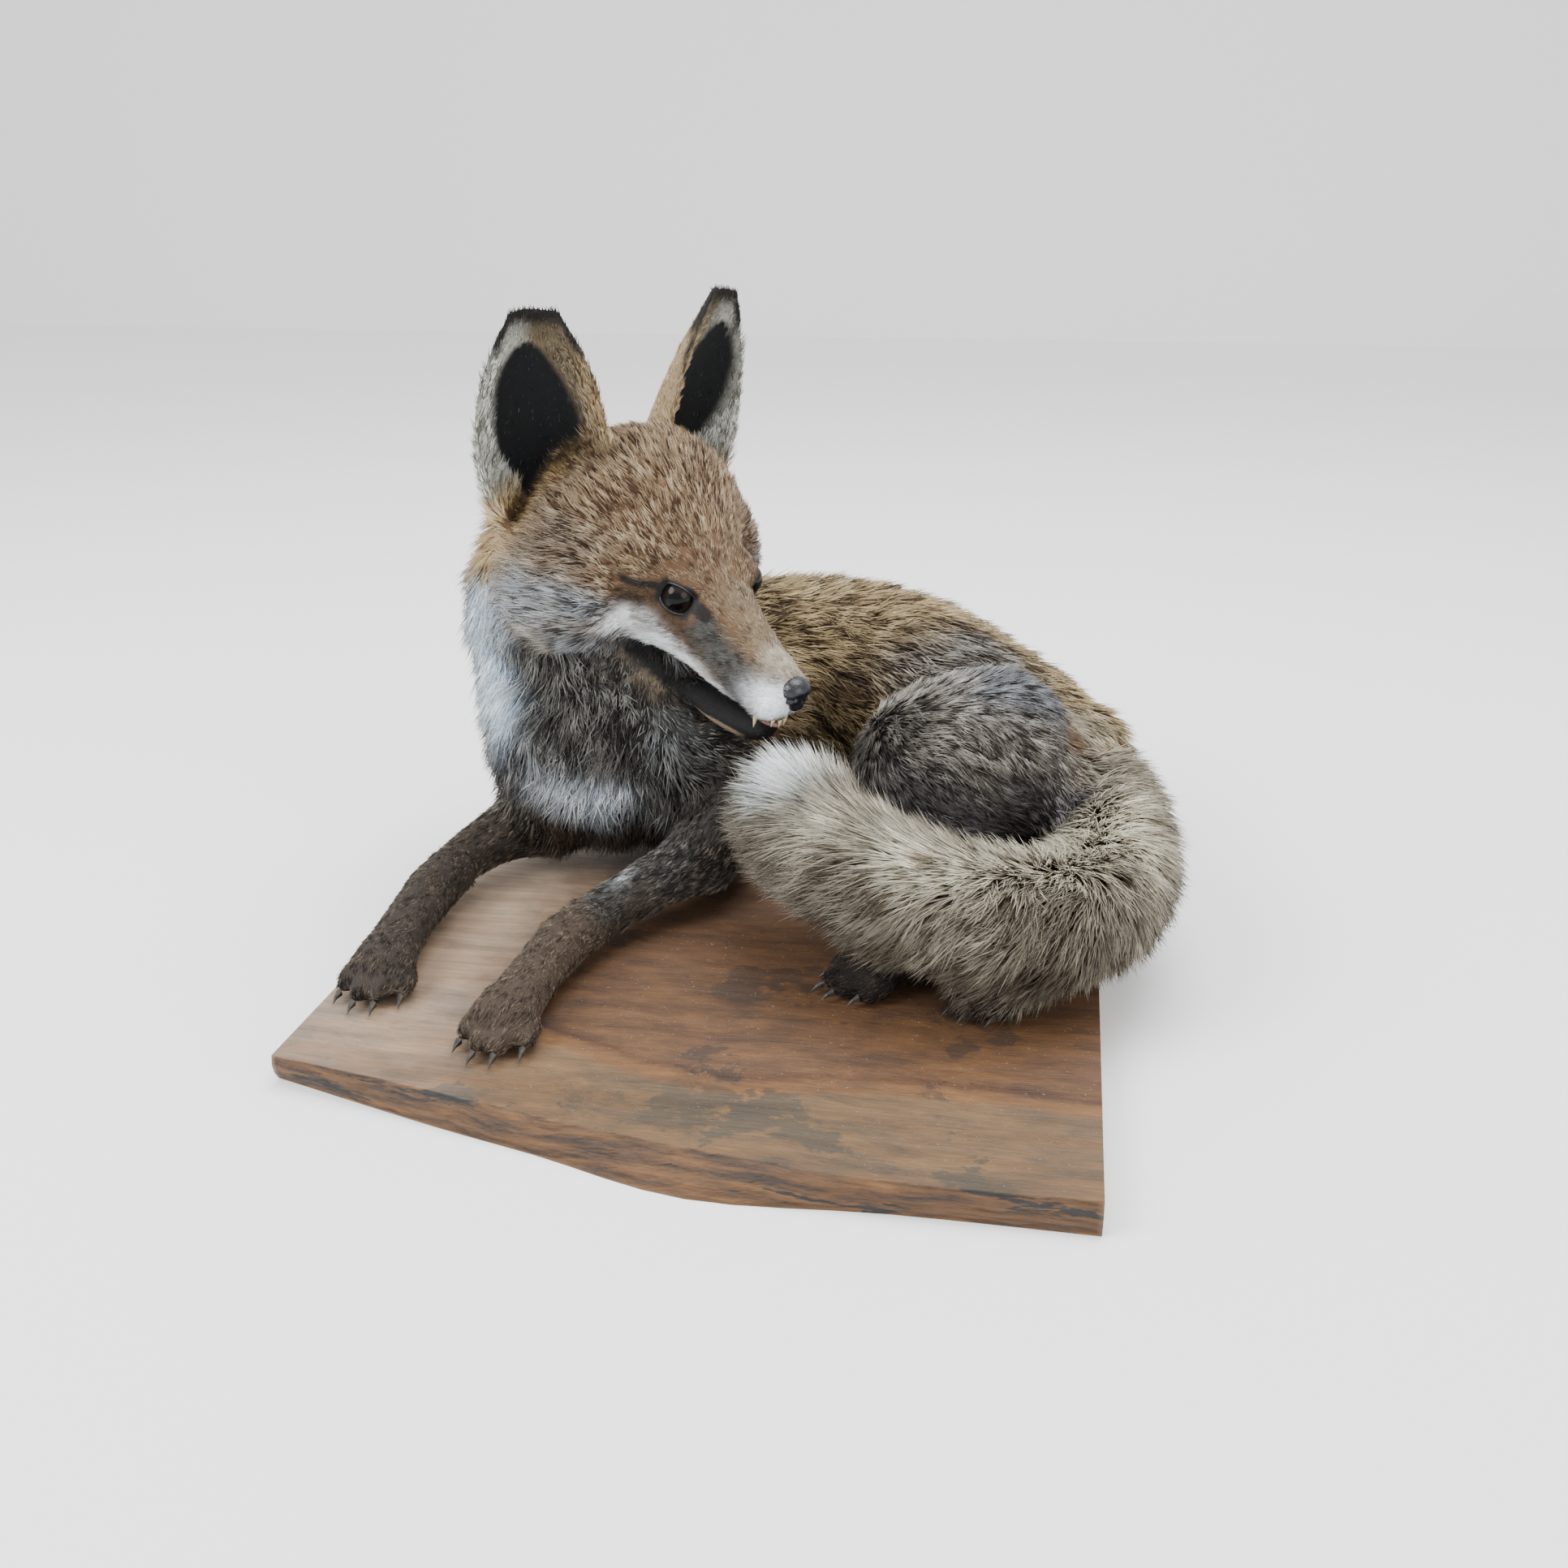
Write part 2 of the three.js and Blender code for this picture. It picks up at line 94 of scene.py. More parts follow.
def ramp(x, low, high):
    """0 below low, 1 above high and a smooth rise between."""
    t = np.clip((x - low) / (high - low), 0, 1)
    return t * t * (3 - 2 * t)


def fade(x, low, high):
    """1 below low, 0 above high and a smooth fall between."""
    return 1 - ramp(x, low, high)


def places(mesh):
    p = np.empty(len(mesh.vertices) * 3)
    mesh.vertices.foreach_get("co", p)
    return p.reshape(-1, 3)


def outward(mesh):
    n = np.empty(len(mesh.vertices) * 3, np.float32)
    mesh.vertex_normals.foreach_get("vector", n)
    return n.reshape(-1, 3).astype(float)


def move_to(mesh, p):
    mesh.vertices.foreach_set("co", p.ravel())
    mesh.update()


class Ties:
    """The edges of a mesh, to even out a value over its neighbours."""

    def __init__(self, mesh):
        e = np.empty(len(mesh.edges) * 2, np.int32)
        mesh.edges.foreach_get("vertices", e)
        self.a, self.b = e.reshape(-1, 2).T
        self.count = len(mesh.vertices)
        both = np.concatenate([self.a, self.b])
        self.share = np.maximum(np.bincount(both, minlength=self.count), 1)

    def mean(self, v):
        def one(c):
            near = np.bincount(self.a, c[self.b], self.count) + np.bincount(self.b, c[self.a], self.count)
            return near / self.share

        return one(v) if v.ndim == 1 else np.stack([one(c) for c in v.T], 1)

    def even(self, v, rounds, by=0.5):
        """by may be a number or one weight for each vertex."""
        by = np.asarray(by)
        if by.ndim and v.ndim > 1:
            by = by[:, None]
        for _ in range(rounds):
            v = v + by * (self.mean(v) - v)
        return v


CELL_HASH = (73856093, 19349663, 83492791)  # large primes that scatter the values of the cells
HASH_AGAIN = 1274126177


def patchy(points, size, seed=0):
    """A smooth random value from 0 to 1 at each point, in patches of the given size."""
    q = points / size + seed * 17.31
    cell = np.floor(q).astype(np.int64)
    f = q - cell
    f = f * f * (3 - 2 * f)
    total = np.zeros(len(points))
    for corner in itertools.product((0, 1), repeat=3):
        c = cell + corner
        h = c[:, 0] * CELL_HASH[0] ^ c[:, 1] * CELL_HASH[1] ^ c[:, 2] * CELL_HASH[2]
        h = (h ^ (h >> 13)) * HASH_AGAIN & 0x7FFFFFFF
        weight = np.prod(np.where(corner, f, 1 - f), axis=1)
        total += weight * ((h >> 7) % 65536) / 65535
    return total


def into_scene(name, data):
    made = bpy.data.objects.new(name, data)
    bpy.context.scene.collection.objects.link(made)
    return made


def put(name, mesh, finish):
    """A finished piece: its object at the origin, riding on the fox's one body."""
    piece = into_scene(name, mesh)
    mesh.materials.clear()
    mesh.materials.append(finish)
    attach(piece, "root")
    return piece


def smooth(mesh):
    mesh.polygons.foreach_set("use_smooth", [True] * len(mesh.polygons))
    mesh.update()


def mesh_of(bm, name):
    """The mesh of a bmesh, which is freed."""
    mesh = bpy.data.meshes.new(name)
    bm.to_mesh(mesh)
    bm.free()
    return mesh


def give(mesh, name, values, kind="FLOAT", key="value"):
    """Values for the vertices of a mesh, for its finish to read."""
    values = np.asarray(values, np.float32).ravel()
    mesh.attributes.new(name, kind, "POINT").data.foreach_set(key, values)


def give_colour(mesh, tint):
    rgba = np.concatenate([tint, np.ones((len(tint), 1))], 1)
    give(mesh, "coat colour", rgba, "FLOAT_COLOR", "color")


# ---------------- the skin

REGIONS = (
    "head", "lower_jaw", "ear_left", "ear_right", "neck", "trunk", "thigh_left", "thigh_right",
    "hindleg_left", "foreleg_left", "foreleg_right", "forepaw_left", "forepaw_right", "hindfoot_left",
    "hindfoot_right", "tail_base", "tail_middle", "tail_end",
)


def by_region(table):
    """What a table says of each region: its keys are the starts of their names, and the first counts."""
    return {r: next(value for key, value in table.items() if r.startswith(key)) for r in REGIONS}


def share_of(shares, *names):
    """How much of each place belongs to the named regions together."""
    return sum(shares[:, REGIONS.index(r)] for r in names)


FINE_NODES = [r for r in REGIONS if r.startswith(("ear", "forepaw", "hindfoot"))]
COAT_DEPTH = by_region({  # millimetres from the tips of the coat to the skin
    "head": 3.0, "lower_jaw": 2.5, "ear": 0.8, "neck": 11.5, "trunk": 8.5, "thigh_left": 6.5,
    "thigh_right": 7, "hindleg": 3, "foreleg": 2.0, "forepaw": 1.6, "hindfoot": 1.6, "tail": 15,
})
HEAD_SUNK = {"head": 14, "lower_jaw": 14, "ear_left": 6, "ear_right": 6}  # the same for the body's own form
CLOSE_GAP = 0.5 * MM  # each node grows by this, to close the gap that parts it from the next
FINE_GROWTH = 1.0 * MM
COARSE_VOXEL = 3.0 * MM
FINE_VOXEL = 1.6 * MM
BODY_KEPT = 0.42  # the share of the triangles that is kept under the long hair
FINE_KEPT = 0.5
JOIN_REACH = 8 * MM
JOIN_ROUNDS = 20
HEAD_ROUNDS = 10
BODY_ROUNDS = 30
LIMBS_SPARED = 0.85  # the share of that evening that the legs are spared
CREASE_ROUNDS = 60
CREASE = (0.05, 0.4)  # how mixed the regions are where the evening of a crease starts and is full
SINK_STEPS = 4
FACE_SPARED = 0.8  # the share of the coat's depth that the short fur of the face does without
EARS_SPARED = (0.5, 0.6)  # the shares of the two evenings that the thin ears are spared

# The face, in head millimetres. Rows of the skull and the jaw are (x, top, bottom, half width).
JAW = (
    (-44, -36, -58, 32), (-20, -38, -57.5, 29), (4, -42.5, -58.5, 21.5), (28, -45.5, -62, 14.5),
    (48, -45, -60.5, 10.5), (60, -42, -55, 7.5),
)
SKULL = (
    (-98, 26, -30, 40), (-82, 50, -44, 54), (-62, 58, -50, 63), (-42, 53, -52, 60), (-24, 41, -48, 47.5),
    (-8, 28, -42, 34), (8, 15.5, -40, 24.5), (26, 5, -43, 19), (46, -4.5, -42.5, 15),
    (60, -10, -38.5, 12.5), (70, -14, -33, 9.5),
)
HEAD_SWELLS = (  # (centre, half sizes) of a cheek, a brow and a lip pad, one on each side
    ((-55, 42, -12), (41, 31, 40)),
    ((-6, 15, 9), (20, 10.5, 9)),
    ((54, 8, -31), (15, 7.5, 9.5)),
)
LEFT_BROW = ((-2, 21, 8.5), (11, 10, 9.5))  # a brow of its own, over the eye that is turned away
FACE_CENTRE = (22, 0, -20)
FACE_REACH = 56
LID_REACH = 17
SLIT = Vector((0.80, 0.52, -0.30))  # from the outer corner of an eye to the inner
LID_HALF = 13.2  # arcs over the eyeball from its line of sight to the edges of the lids
UPPER_LID = 7.4
LOWER_LID = 6.3
LID_RIM = 0.45
LID_THICK = 1.5
LID_FADE = 6.5
LID_SINK = 2.5
LID_EASE = 2.2  # how soon a lid is as thick as it gets
LID_SHELL = 0.5  # the lids' edge stands off the eyeball by this
BALL_NEAR = (1.6 * EYE_RADIUS, 2.2 * EYE_RADIUS)  # the skin is moulded on the ball as far as this
TOOTH_BUMP, TOOTH_REACH, TOOTH_ROUNDS = (52, 10.5, -48), 9, 24  # where the form under the teeth is evened
MOUTH_CORNER = -14
MOUTH_START = (MOUTH_CORNER - 3, MOUTH_CORNER + 6)
MOUTH_HALF_WIDTH = 36
MOUTH_HALF_HEIGHT = 1.5
MOUTH_DEPTH = 3.2
LIP_RIDGE = (3.6, 1.6, 0.5)  # how high over the line of the lips, its half height, and how proud it is
LIP_LINE = ((-30, -10, 8, 28, 48, 60, 72), (-37, -40, -43, -45.5, -44.5, -42, -38))  # places along x, heights
CHIN_EDGE = ((-30, -20, 4, 28, 48, 60), (-49.5, -50, -51.5, -54.5, -54.5, -52.5))  # the top of the chin's fur
HOLLOWS = (  # (where, reach, how deep): before the eye, between the brows, under the nose, before the ear
    ((30, 17, -10), (12, 8, 9), 1.6),
    ((8, 0, 18), (14, 8, 10), 0.8),
    ((72, 0, -32), (5, 1.1, 7), 1.3),
    ((-70, 45, 42), (14, 12, 12), 7.0),
)


def grown_copies(names, grow):
    """One mesh of the named nodes, each merged and a little larger."""
    bm = bmesh.new()
    for name in names:
        part = bmesh.new()
        part.from_mesh(nodes[name].data)
        bmesh.ops.remove_doubles(part, verts=part.verts, dist=1e-6)
        part.normal_update()
        for v in part.verts:
            v.co += v.normal * grow
        held = mesh_of(part, "held")
        bm.from_mesh(held)
        bpy.data.meshes.remove(held)
    return mesh_of(bm, "grown")


def applied(mesh, kind, **settings):
    """The mesh with one modifier applied to it."""
    carrier = into_scene("carrier", mesh)
    modifier = carrier.modifiers.new("step", kind)
    for key, value in settings.items():
        setattr(modifier, key, value)
    depsgraph = bpy.context.evaluated_depsgraph_get()
    done = bpy.data.meshes.new_from_object(carrier.evaluated_get(depsgraph))
    bpy.data.objects.remove(carrier)
    return done


class Regions:
    """Which node of the fox each point belongs to."""

    def __init__(self):
        verts, faces, self.owner = [], [], []
        for k, name in enumerate(REGIONS):
            base = len(verts)
            mesh = nodes[name].data
            verts += [v.co.copy() for v in mesh.vertices]
            faces += [[base + i for i in f.vertices] for f in mesh.polygons]
            self.owner += [k] * len(mesh.polygons)
        self.tree = BVHTree.FromPolygons(verts, faces)

    def of(self, points):
        return np.array([self.owner[self.tree.find_nearest(p)[2]] for p in points.tolist()])


regions = Regions()


def region_shares(mesh, ties, rounds):
    """How much of each region every vertex has, eased over the borders."""
    which = regions.of(places(mesh))
    return ties.even(np.eye(len(REGIONS))[which], rounds)


def make_body_form():
    """The trunk, neck, legs and tail as one form, drawn in by the depth of the coat."""
    parts = [r for r in REGIONS if not r.startswith(("ear", "lower_jaw"))]
    mesh = applied(grown_copies(parts, CLOSE_GAP), "REMESH", mode="VOXEL", voxel_size=COARSE_VOXEL)
    ties = Ties(mesh)
    shares = region_shares(mesh, ties, 12)
    inward = shares @ np.array([HEAD_SUNK.get(r, COAT_DEPTH[r]) for r in REGIONS]) * MM
    limbs = shares @ np.array([r.startswith(("fore", "hind")) for r in REGIONS], float)
    p = ties.even(places(mesh), BODY_ROUNDS, 0.5 * (1 - LIMBS_SPARED * limbs))
    border = ramp(1 - (shares ** 2).sum(1), *CREASE) * (1 - limbs)
    p = ties.even(p, CREASE_ROUNDS, 0.5 * border)  # the coat bridges the creases between the parts
    move_to(mesh, p)
    n = unit(ties.even(outward(mesh), 8))
    for _ in range(SINK_STEPS):
        p = ties.even(p - n * inward[:, None] / SINK_STEPS, 2)
    move_to(mesh, p)
    return applied(mesh, "DECIMATE", ratio=BODY_KEPT)


def head_ball(bm, centre, half):
    """A ball stretched along the head's own axes."""
    matrix = HEAD_FRAME @ Matrix.Translation(centre) @ Matrix.Diagonal(tuple(half) + (1,))
    bmesh.ops.create_uvsphere(bm, u_segments=48, v_segments=24, radius=1, matrix=matrix)


def between(stations, steps):
    """Rows of numbers on a smooth curve through the given rows, with even steps between each two."""
    rows = np.array(stations, float)
    padded = np.vstack([2 * rows[0] - rows[1], rows, 2 * rows[-1] - rows[-2]])
    t = np.arange(steps)[:, None] / steps
    spans = []
    for p0, p1, p2, p3 in zip(padded, padded[1:], padded[2:], padded[3:]):
        square, cube = 2 * p0 - 5 * p1 + 4 * p2 - p3, 3 * p1 - p0 - 3 * p2 + p3
        spans.append((2 * p1 + (p2 - p0) * t + square * t ** 2 + cube * t ** 3) / 2)
    return np.vstack(spans + [rows[-1:]])


def head_loft(bm, stations, around=56, squareness=2.12):
    """A closed body through oval sections along the head: (x, top, bottom, half width)."""
    before = first = None
    for x, top, bottom, wide in between(stations, 4):
        ring = bmesh.ops.create_circle(bm, segments=around, radius=1)["verts"]
        for v in ring:
            y, z = (math.copysign(abs(c) ** (2 / squareness), c) for c in v.co[:2])
            v.co = head_point(x, wide * y, (top + bottom) / 2 + (top - bottom) / 2 * z)
        edges = list({e for v in ring for e in v.link_edges})
        if before:
            bmesh.ops.bridge_loops(bm, edges=before + edges)
        else:
            first = edges
        before = edges
    for edges in (first, before):
        bmesh.ops.contextual_create(bm, geom=edges)
    bmesh.ops.recalc_face_normals(bm, faces=bm.faces)


def add_to(mesh, bm):
    bm.from_mesh(mesh)
    bm.to_mesh(mesh)
    bm.free()


def make_fine_form():
    """The head with its ears, and the paws, at a size that holds their folds."""
    grown = grown_copies(FINE_NODES, FINE_GROWTH)
    for stations in (SKULL, JAW):
        head = bmesh.new()
        head_loft(head, stations)
        add_to(grown, head)
    for centre, half in HEAD_SWELLS:
        for side in (-1, 1):
            head = bmesh.new()
            head_ball(head, on_side(side, centre), half)
            add_to(grown, head)
    for side in (-1, 1):
        head = bmesh.new()
        head_ball(head, EYE_AT[side], (EYE_RADIUS + (LID_THICK if side > 0 else 0),) * 3)
        if side > 0:
            head_ball(head, *LEFT_BROW)
        add_to(grown, head)
    mesh = applied(grown, "REMESH", mode="VOXEL", voxel_size=FINE_VOXEL)
    ties = Ties(mesh)
    shares = region_shares(mesh, ties, 4)
    inward = shares @ np.array([COAT_DEPTH[r] for r in REGIONS]) * MM
    ears = share_of(shares, "ear_left", "ear_right")
    p = ties.even(places(mesh), HEAD_ROUNDS, 0.5 * share_of(shares, "head", "lower_jaw"))
    p = ties.even(p, 5, 0.5 * (1 - EARS_SPARED[0] * ears))
    move_to(mesh, p)
    n = unit(ties.even(outward(mesh), 4))
    q = in_head(p)
    inward *= 1 - FACE_SPARED * ramp(q[:, 0], -30, 10) * (np.abs(q[:, 1]) < 60)
    p = ties.even(p - n * inward[:, None], 2, 0.4 * (1 - EARS_SPARED[1] * ears))
    move_to(mesh, p)
    mesh = finer_near(mesh, FACE_CENTRE, FACE_REACH)
    for side in (-1, 1):
        mesh = finer_near(mesh, EYE_AT[side], LID_REACH)
    sculpt_face(mesh)
    return applied(mesh, "DECIMATE", ratio=FINE_KEPT)


def eye_axes(side):
    """Where an eye looks, the way to its inner corner and the way up across its lids."""
    gaze = Vector(on_side(side, EYE_FACES))
    slit = Vector(on_side(-side, SLIT))
    slit = (slit - gaze * slit.dot(gaze)).normalized()
    up = gaze.cross(slit) * -side
    return gaze, slit, up


def finer_near(mesh, centre, reach):
    """The mesh with its faces near a place in the head cut in four."""
    bm = bmesh.new()
    bm.from_mesh(mesh)
    near = np.linalg.norm(in_head(places(mesh)) - np.array(centre), axis=1) < reach
    bm.verts.ensure_lookup_table()
    edges = [e for e in bm.edges if near[e.verts[0].index] and near[e.verts[1].index]]
    bmesh.ops.subdivide_edges(bm, edges=edges, cuts=1, use_grid_fill=True)
    bm.to_mesh(mesh)
    bm.free()
    return mesh


def lid_gap(side, q):
    """How far each place lies outside the opening between the lids, and how far ahead of the eyeball's
    middle, in head millimetres."""
    gaze, slit, up = (np.array(v) for v in eye_axes(side))
    v = q - np.array(EYE_AT[side])
    sight = unit(v)
    reach = np.arccos(np.clip(sight @ gaze, -1, 1)) * EYE_RADIUS  # an arc over the ball
    along, high = sight @ slit, sight @ up
    wide = np.maximum(np.hypot(along, high), 1e-6)
    along, high = along / wide, high / wide
    half = np.where(high > 0, UPPER_LID, LOWER_LID)
    edge = 1 / np.sqrt((along / LID_HALF) ** 2 + (high / half) ** 2)
    return reach - edge, v @ gaze


def sculpt_face(mesh):
    """The lids, the mouth and the softer hollows, pressed into the head's plain form."""
    p = places(mesh)
    q = in_head(p)
    ties = Ties(mesh)
    n = outward(mesh) @ np.array(HEAD_TURN)
    tooth = np.exp(-(np.linalg.norm(mirrored(q) - TOOTH_BUMP, axis=1) / TOOTH_REACH) ** 2)
    q = ties.even(q, TOOTH_ROUNDS, 0.5 * ramp(tooth, 0.1, 0.5))

    lip = np.interp(q[:, 0], *LIP_LINE)
    inside = ramp(q[:, 0], *MOUTH_START) * (np.abs(q[:, 1]) < MOUTH_HALF_WIDTH)
    fold = inside * np.exp(-((q[:, 2] - lip) / MOUTH_HALF_HEIGHT) ** 2)
    q = q - n * [1, 1, 0.1] * (fold * MOUTH_DEPTH)[:, None]  # the fold is pressed in nearly level
    above, half, proud = LIP_RIDGE
    ridge = inside * np.exp(-((q[:, 2] - lip - above) / half) ** 2)
    q = q + n * (ridge * proud)[:, None]

    for centre, reach, press in HOLLOWS:
        away = (mirrored(q) - centre) / reach
        q = q - n * (press * np.exp(-(away ** 2).sum(1)))[:, None]

    q = ties.even(q, 1, 0.3)
    for side in (-1, 1):
        centre = np.array(EYE_AT[side])
        outside, ahead = lid_gap(side, q)
        v = q - centre
        r = np.linalg.norm(v, axis=1)
        front = ramp(ahead, -2, 2) * fade(r, *BALL_NEAR)
        shell = EYE_RADIUS + LID_SHELL + LID_THICK * (1 - np.exp(-np.maximum(outside, 0) / LID_EASE))
        pull = front * np.exp(-(np.maximum(outside, 0) / LID_FADE) ** 2)
        sunk = r - front * np.maximum(r - EYE_RADIUS + LID_SINK, 0)
        target = np.where(outside > 0, r + (shell - r) * pull, sunk)
        q = centre + v * (target / np.maximum(r, 1e-6))[:, None]
    move_to(mesh, out_of_head(q))


def joined(first, second):
    """Two closed forms as one closed skin, eased where they meet."""
    trees = [BVHTree.FromPolygons([v.co for v in m.vertices], [f.vertices for f in m.polygons])
             for m in (first, second)]
    other = into_scene("other", second)
    whole = applied(first, "BOOLEAN", operation="UNION", solver="MANIFOLD", object=other)
    bpy.data.objects.remove(other)
    p = places(whole)
    limit = 3 * JOIN_REACH
    apart = sum(np.array([tree.find_nearest(q, limit)[3] or limit for q in p.tolist()]) for tree in trees)
    move_to(whole, Ties(whole).even(p, JOIN_ROUNDS, 0.7 * np.exp(-(apart / JOIN_REACH) ** 2)))
    return whole


# ---------------- the lie of the coat

LINES = (  # (regions, the way from root to tip that their fur lies along, in millimetres)
    (("neck",), ((-107, 114, 238), (-110, 108, 176), (-106, 96, 140), (-98, 78, 104), (-94, 66, 70),
                 (-94, 66, 26))),
    (("trunk",), ((-92, 44, 92), (-48, 130, 92), (6, 164, 93), (64, 172, 88), (120, 156, 76), (162, 130, 73),
                  (200, 92, 68))),
    (("tail_base", "tail_middle", "tail_end"),
     ((168, 116, 76), (185, 66, 66), (186, -10, 59), (158, -60, 60), (113, -71, 69), (66, -48, 76),
      (29, -6, 84), (-4, 40, 100))),
    (("thigh_left",), ((40, 90, 100), (170, 80, 100))),
    (("thigh_right",), ((150, 172, 46), (96, 208, 46), (52, 214, 40))),
    (("hindleg_left",), ((56, 40, 58), (104, 30, 44), (152, 24, 38))),
    (("foreleg_left", "forepaw_left"),
     ((-10, 84, 70), (-34, 40, 48), (-44, 2, 39), (-66, -32, 34), (-79, -66, 32), (-86, -150, 25))),
    (("foreleg_right", "forepaw_right"),
     ((-118, 86, 66), (-128, 66, 46), (-152, 44, 38), (-164, 18, 34), (-165, -66, 29), (-161, -114, 25))),
    (("hindfoot_left",), ((158, 18, 34), (118, -24, 31), (64, -62, 25))),
    (("hindfoot_right",), ((196, 10, 34), (164, -32, 30), (128, -70, 25))),
)
DOWNWARD = {"trunk": 0.55, "neck": 0.5, "thigh_left": 0.68, "thigh_right": 0.5, "tail_base": 0.6,
            "tail_middle": 0.75, "tail_end": 0.55}  # how much the fur also falls


def along_line(line, p):
    """The direction of a line, at the place on it nearest to each point."""
    stations = between(np.array(line) * MM, 8)
    middles = (stations[1:] + stations[:-1]) / 2
    ways = unit(stations[1:] - stations[:-1])
    apart = ((p[:, None, :] - middles[None]) ** 2).sum(-1)
    return ways[apart.argmin(1)]


EAR_ROOT = (-64, 50, 4)
FACE_WAY = (-1, 0, -0.12)  # the hair of the head lies back from the nose,
FACE_FAN, FACE_AXIS = 0.012, -8  # and fans out from its middle line, at this height
CURL_CENTRE = (100, 60, 0)
TAIL_FAN = 0.8  # how much its hair lies outwards from the middle of the curl


def lie_of_fur(p, n, shares):
    """The direction in which the fur lies at each place on the skin."""
    flow = np.zeros_like(p)
    for names, line in LINES:
        for name in names:
            share = share_of(shares, name)
            on = share > 0.01
            way = along_line(line, p[on]) - [0, 0, DOWNWARD.get(name, 0)]
            if name.startswith("tail"):
                way += TAIL_FAN * unit((p[on] - np.array(CURL_CENTRE) * MM) * [1, 1, 0])
            flow[on] += unit(across(way, n[on])) * share[on, None]
    q = in_head(p)
    back = np.array(HEAD_TURN @ Vector(FACE_WAY))
    fan = np.stack([np.zeros(len(q)), q[:, 1] * FACE_FAN, (q[:, 2] - FACE_AXIS) * FACE_FAN], 1)
    head_way = back + fan @ np.array(HEAD_TURN).T
    flow += unit(across(head_way, n)) * share_of(shares, "head", "lower_jaw")[:, None]
    for side, name in SIDES:
        root = np.array(head_point(*on_side(side, EAR_ROOT)))
        flow += unit(across(p - root, n)) * share_of(shares, "ear_" + name)[:, None]
    return flow


# ---------------- the markings

def colour(r, g, b):
    """A paint chart's numbers, 0 to 255, as light."""
    c = np.array((r, g, b)) / 255
    return np.where(c <= 0.04045, c / 12.92, ((c + 0.055) / 1.055) ** 2.4)


FURS = {  # the colours of the root, the middle and the tip, and the shares of dark and of pale hairs
    "crown": ((68, 44, 28), (122, 95, 67), (180, 162, 133), 0.24, 0.26),
    "russet": ((52, 34, 20), (87, 64, 43), (116, 96, 71), 0.14, 0.08),
    "bridge": ((90, 70, 51), (138, 119, 94), (173, 164, 142), 0.08, 0.2),
    "mask": ((50, 48, 45), (84, 83, 80), (125, 126, 121), 0.25, 0.14),
    "temple": ((60, 43, 31), (112, 91, 71), (165, 153, 134), 0.24, 0.26),
    "lip white": ((246, 250, 255), (255, 255, 255), (255, 255, 255), 0, 0.3),
    "cheek": ((69, 67, 65), (121, 124, 125), (174, 178, 180), 0.26, 0.3),
    "gold": ((128, 94, 56), (186, 156, 108), (216, 194, 154), 0.12, 0.2),
    "ear back": ((126, 103, 72), (177, 156, 122), (204, 189, 158), 0.10, 0.10),
    "ear black": ((18, 14, 12), (30, 25, 21), (46, 39, 34), 0.0, 0.0),
    "ear hollow": ((5, 6, 9), (6, 9, 13), (95, 103, 114), 0.5, 0.14),
    "ear rim": ((79, 67, 48), (126, 111, 87), (165, 153, 130), 0.18, 0.3),
    "ear pale": ((124, 121, 110), (192, 193, 184), (238, 241, 234), 0.16, 0.3),
    "lip black": ((9, 8, 8), (16, 14, 14), (62, 56, 52), 0.1, 0.2),
    "chin": ((113, 97, 78), (155, 138, 115), (180, 166, 145), 0.1, 0.1),
    # white fur whose blue tint is painted cool window light
    "bib": ((170, 190, 212), (214, 232, 250), (244, 252, 255), 0.05, 0.3),
    "chest": ((35, 30, 28), (69, 66, 60), (143, 141, 135), 0.34, 0.26),
    "haunch dark": ((37, 31, 28), (75, 68, 61), (129, 123, 115), 0.36, 0.24),
    # white fur whose blue tint is painted cool window light
    "chest white": ((150, 160, 172), (218, 232, 246), (250, 254, 255), 0.08, 0.3),
    "shadow": ((39, 34, 32), (64, 57, 53), (97, 89, 82), 0.3, 0.06),
    "ochre": ((95, 76, 51), (150, 127, 94), (184, 162, 129), 0.15, 0.15),
    "back": ((76, 60, 39), (156, 134, 97), (215, 196, 155), 0.32, 0.2),
    "flank": ((80, 65, 50), (140, 120, 95), (182, 166, 140), 0.22, 0.16),
    "belly": ((95, 90, 85), (147, 143, 138), (189, 187, 182), 0.15, 0.2),
    "crest": ((57, 44, 34), (101, 80, 58), (138, 113, 87), 0.36, 0.08),
    "haunch": ((63, 56, 51), (120, 112, 103), (199, 193, 184), 0.32, 0.26),
    "silver": ((45, 42, 41), (85, 86, 87), (158, 162, 167), 0.30, 0.32),
    "orange": ((81, 47, 15), (128, 80, 33), (160, 110, 55), 0.14, 0.1),
    "rump cream": ((131, 120, 101), (180, 171, 152), (208, 203, 185), 0.1, 0.2),
    # dark fur in the crease between the haunch and the tail, darkened further as painted shade
    "crease dark fur and shade": ((61, 56, 57), (97, 91, 92), (138, 132, 134), 0.35, 0.05),
    "tail cream": ((147, 136, 112), (207, 199, 176), (253, 249, 227), 0.08, 0.28),
    "tail grey": ((89, 79, 65), (118, 109, 93), (177, 169, 152), 0.22, 0.22),
    "tail low": ((50, 42, 33), (82, 71, 58), (126, 115, 98), 0.28, 0.14),
    "tail white": ((176, 188, 190), (224, 238, 240), (252, 255, 255), 0.0, 0.4),
    "leg": ((31, 26, 22), (68, 58, 50), (142, 126, 108), 0.34, 0.2),
    "leg slate": ((33, 30, 28), (65, 62, 58), (135, 131, 125), 0.3, 0.2),
    # pale hairs on top of a foreleg, partly a painted highlight
    "leg pale hairs and highlight": ((90, 90, 90), (146, 148, 150), (190, 192, 196), 0.15, 0.25),
    "leg tan": ((44, 34, 27), (84, 69, 56), (152, 136, 115), 0.3, 0.2),
    "foot": ((12, 8, 5), (27, 18, 13), (76, 60, 48), 0.36, 0.14),
}
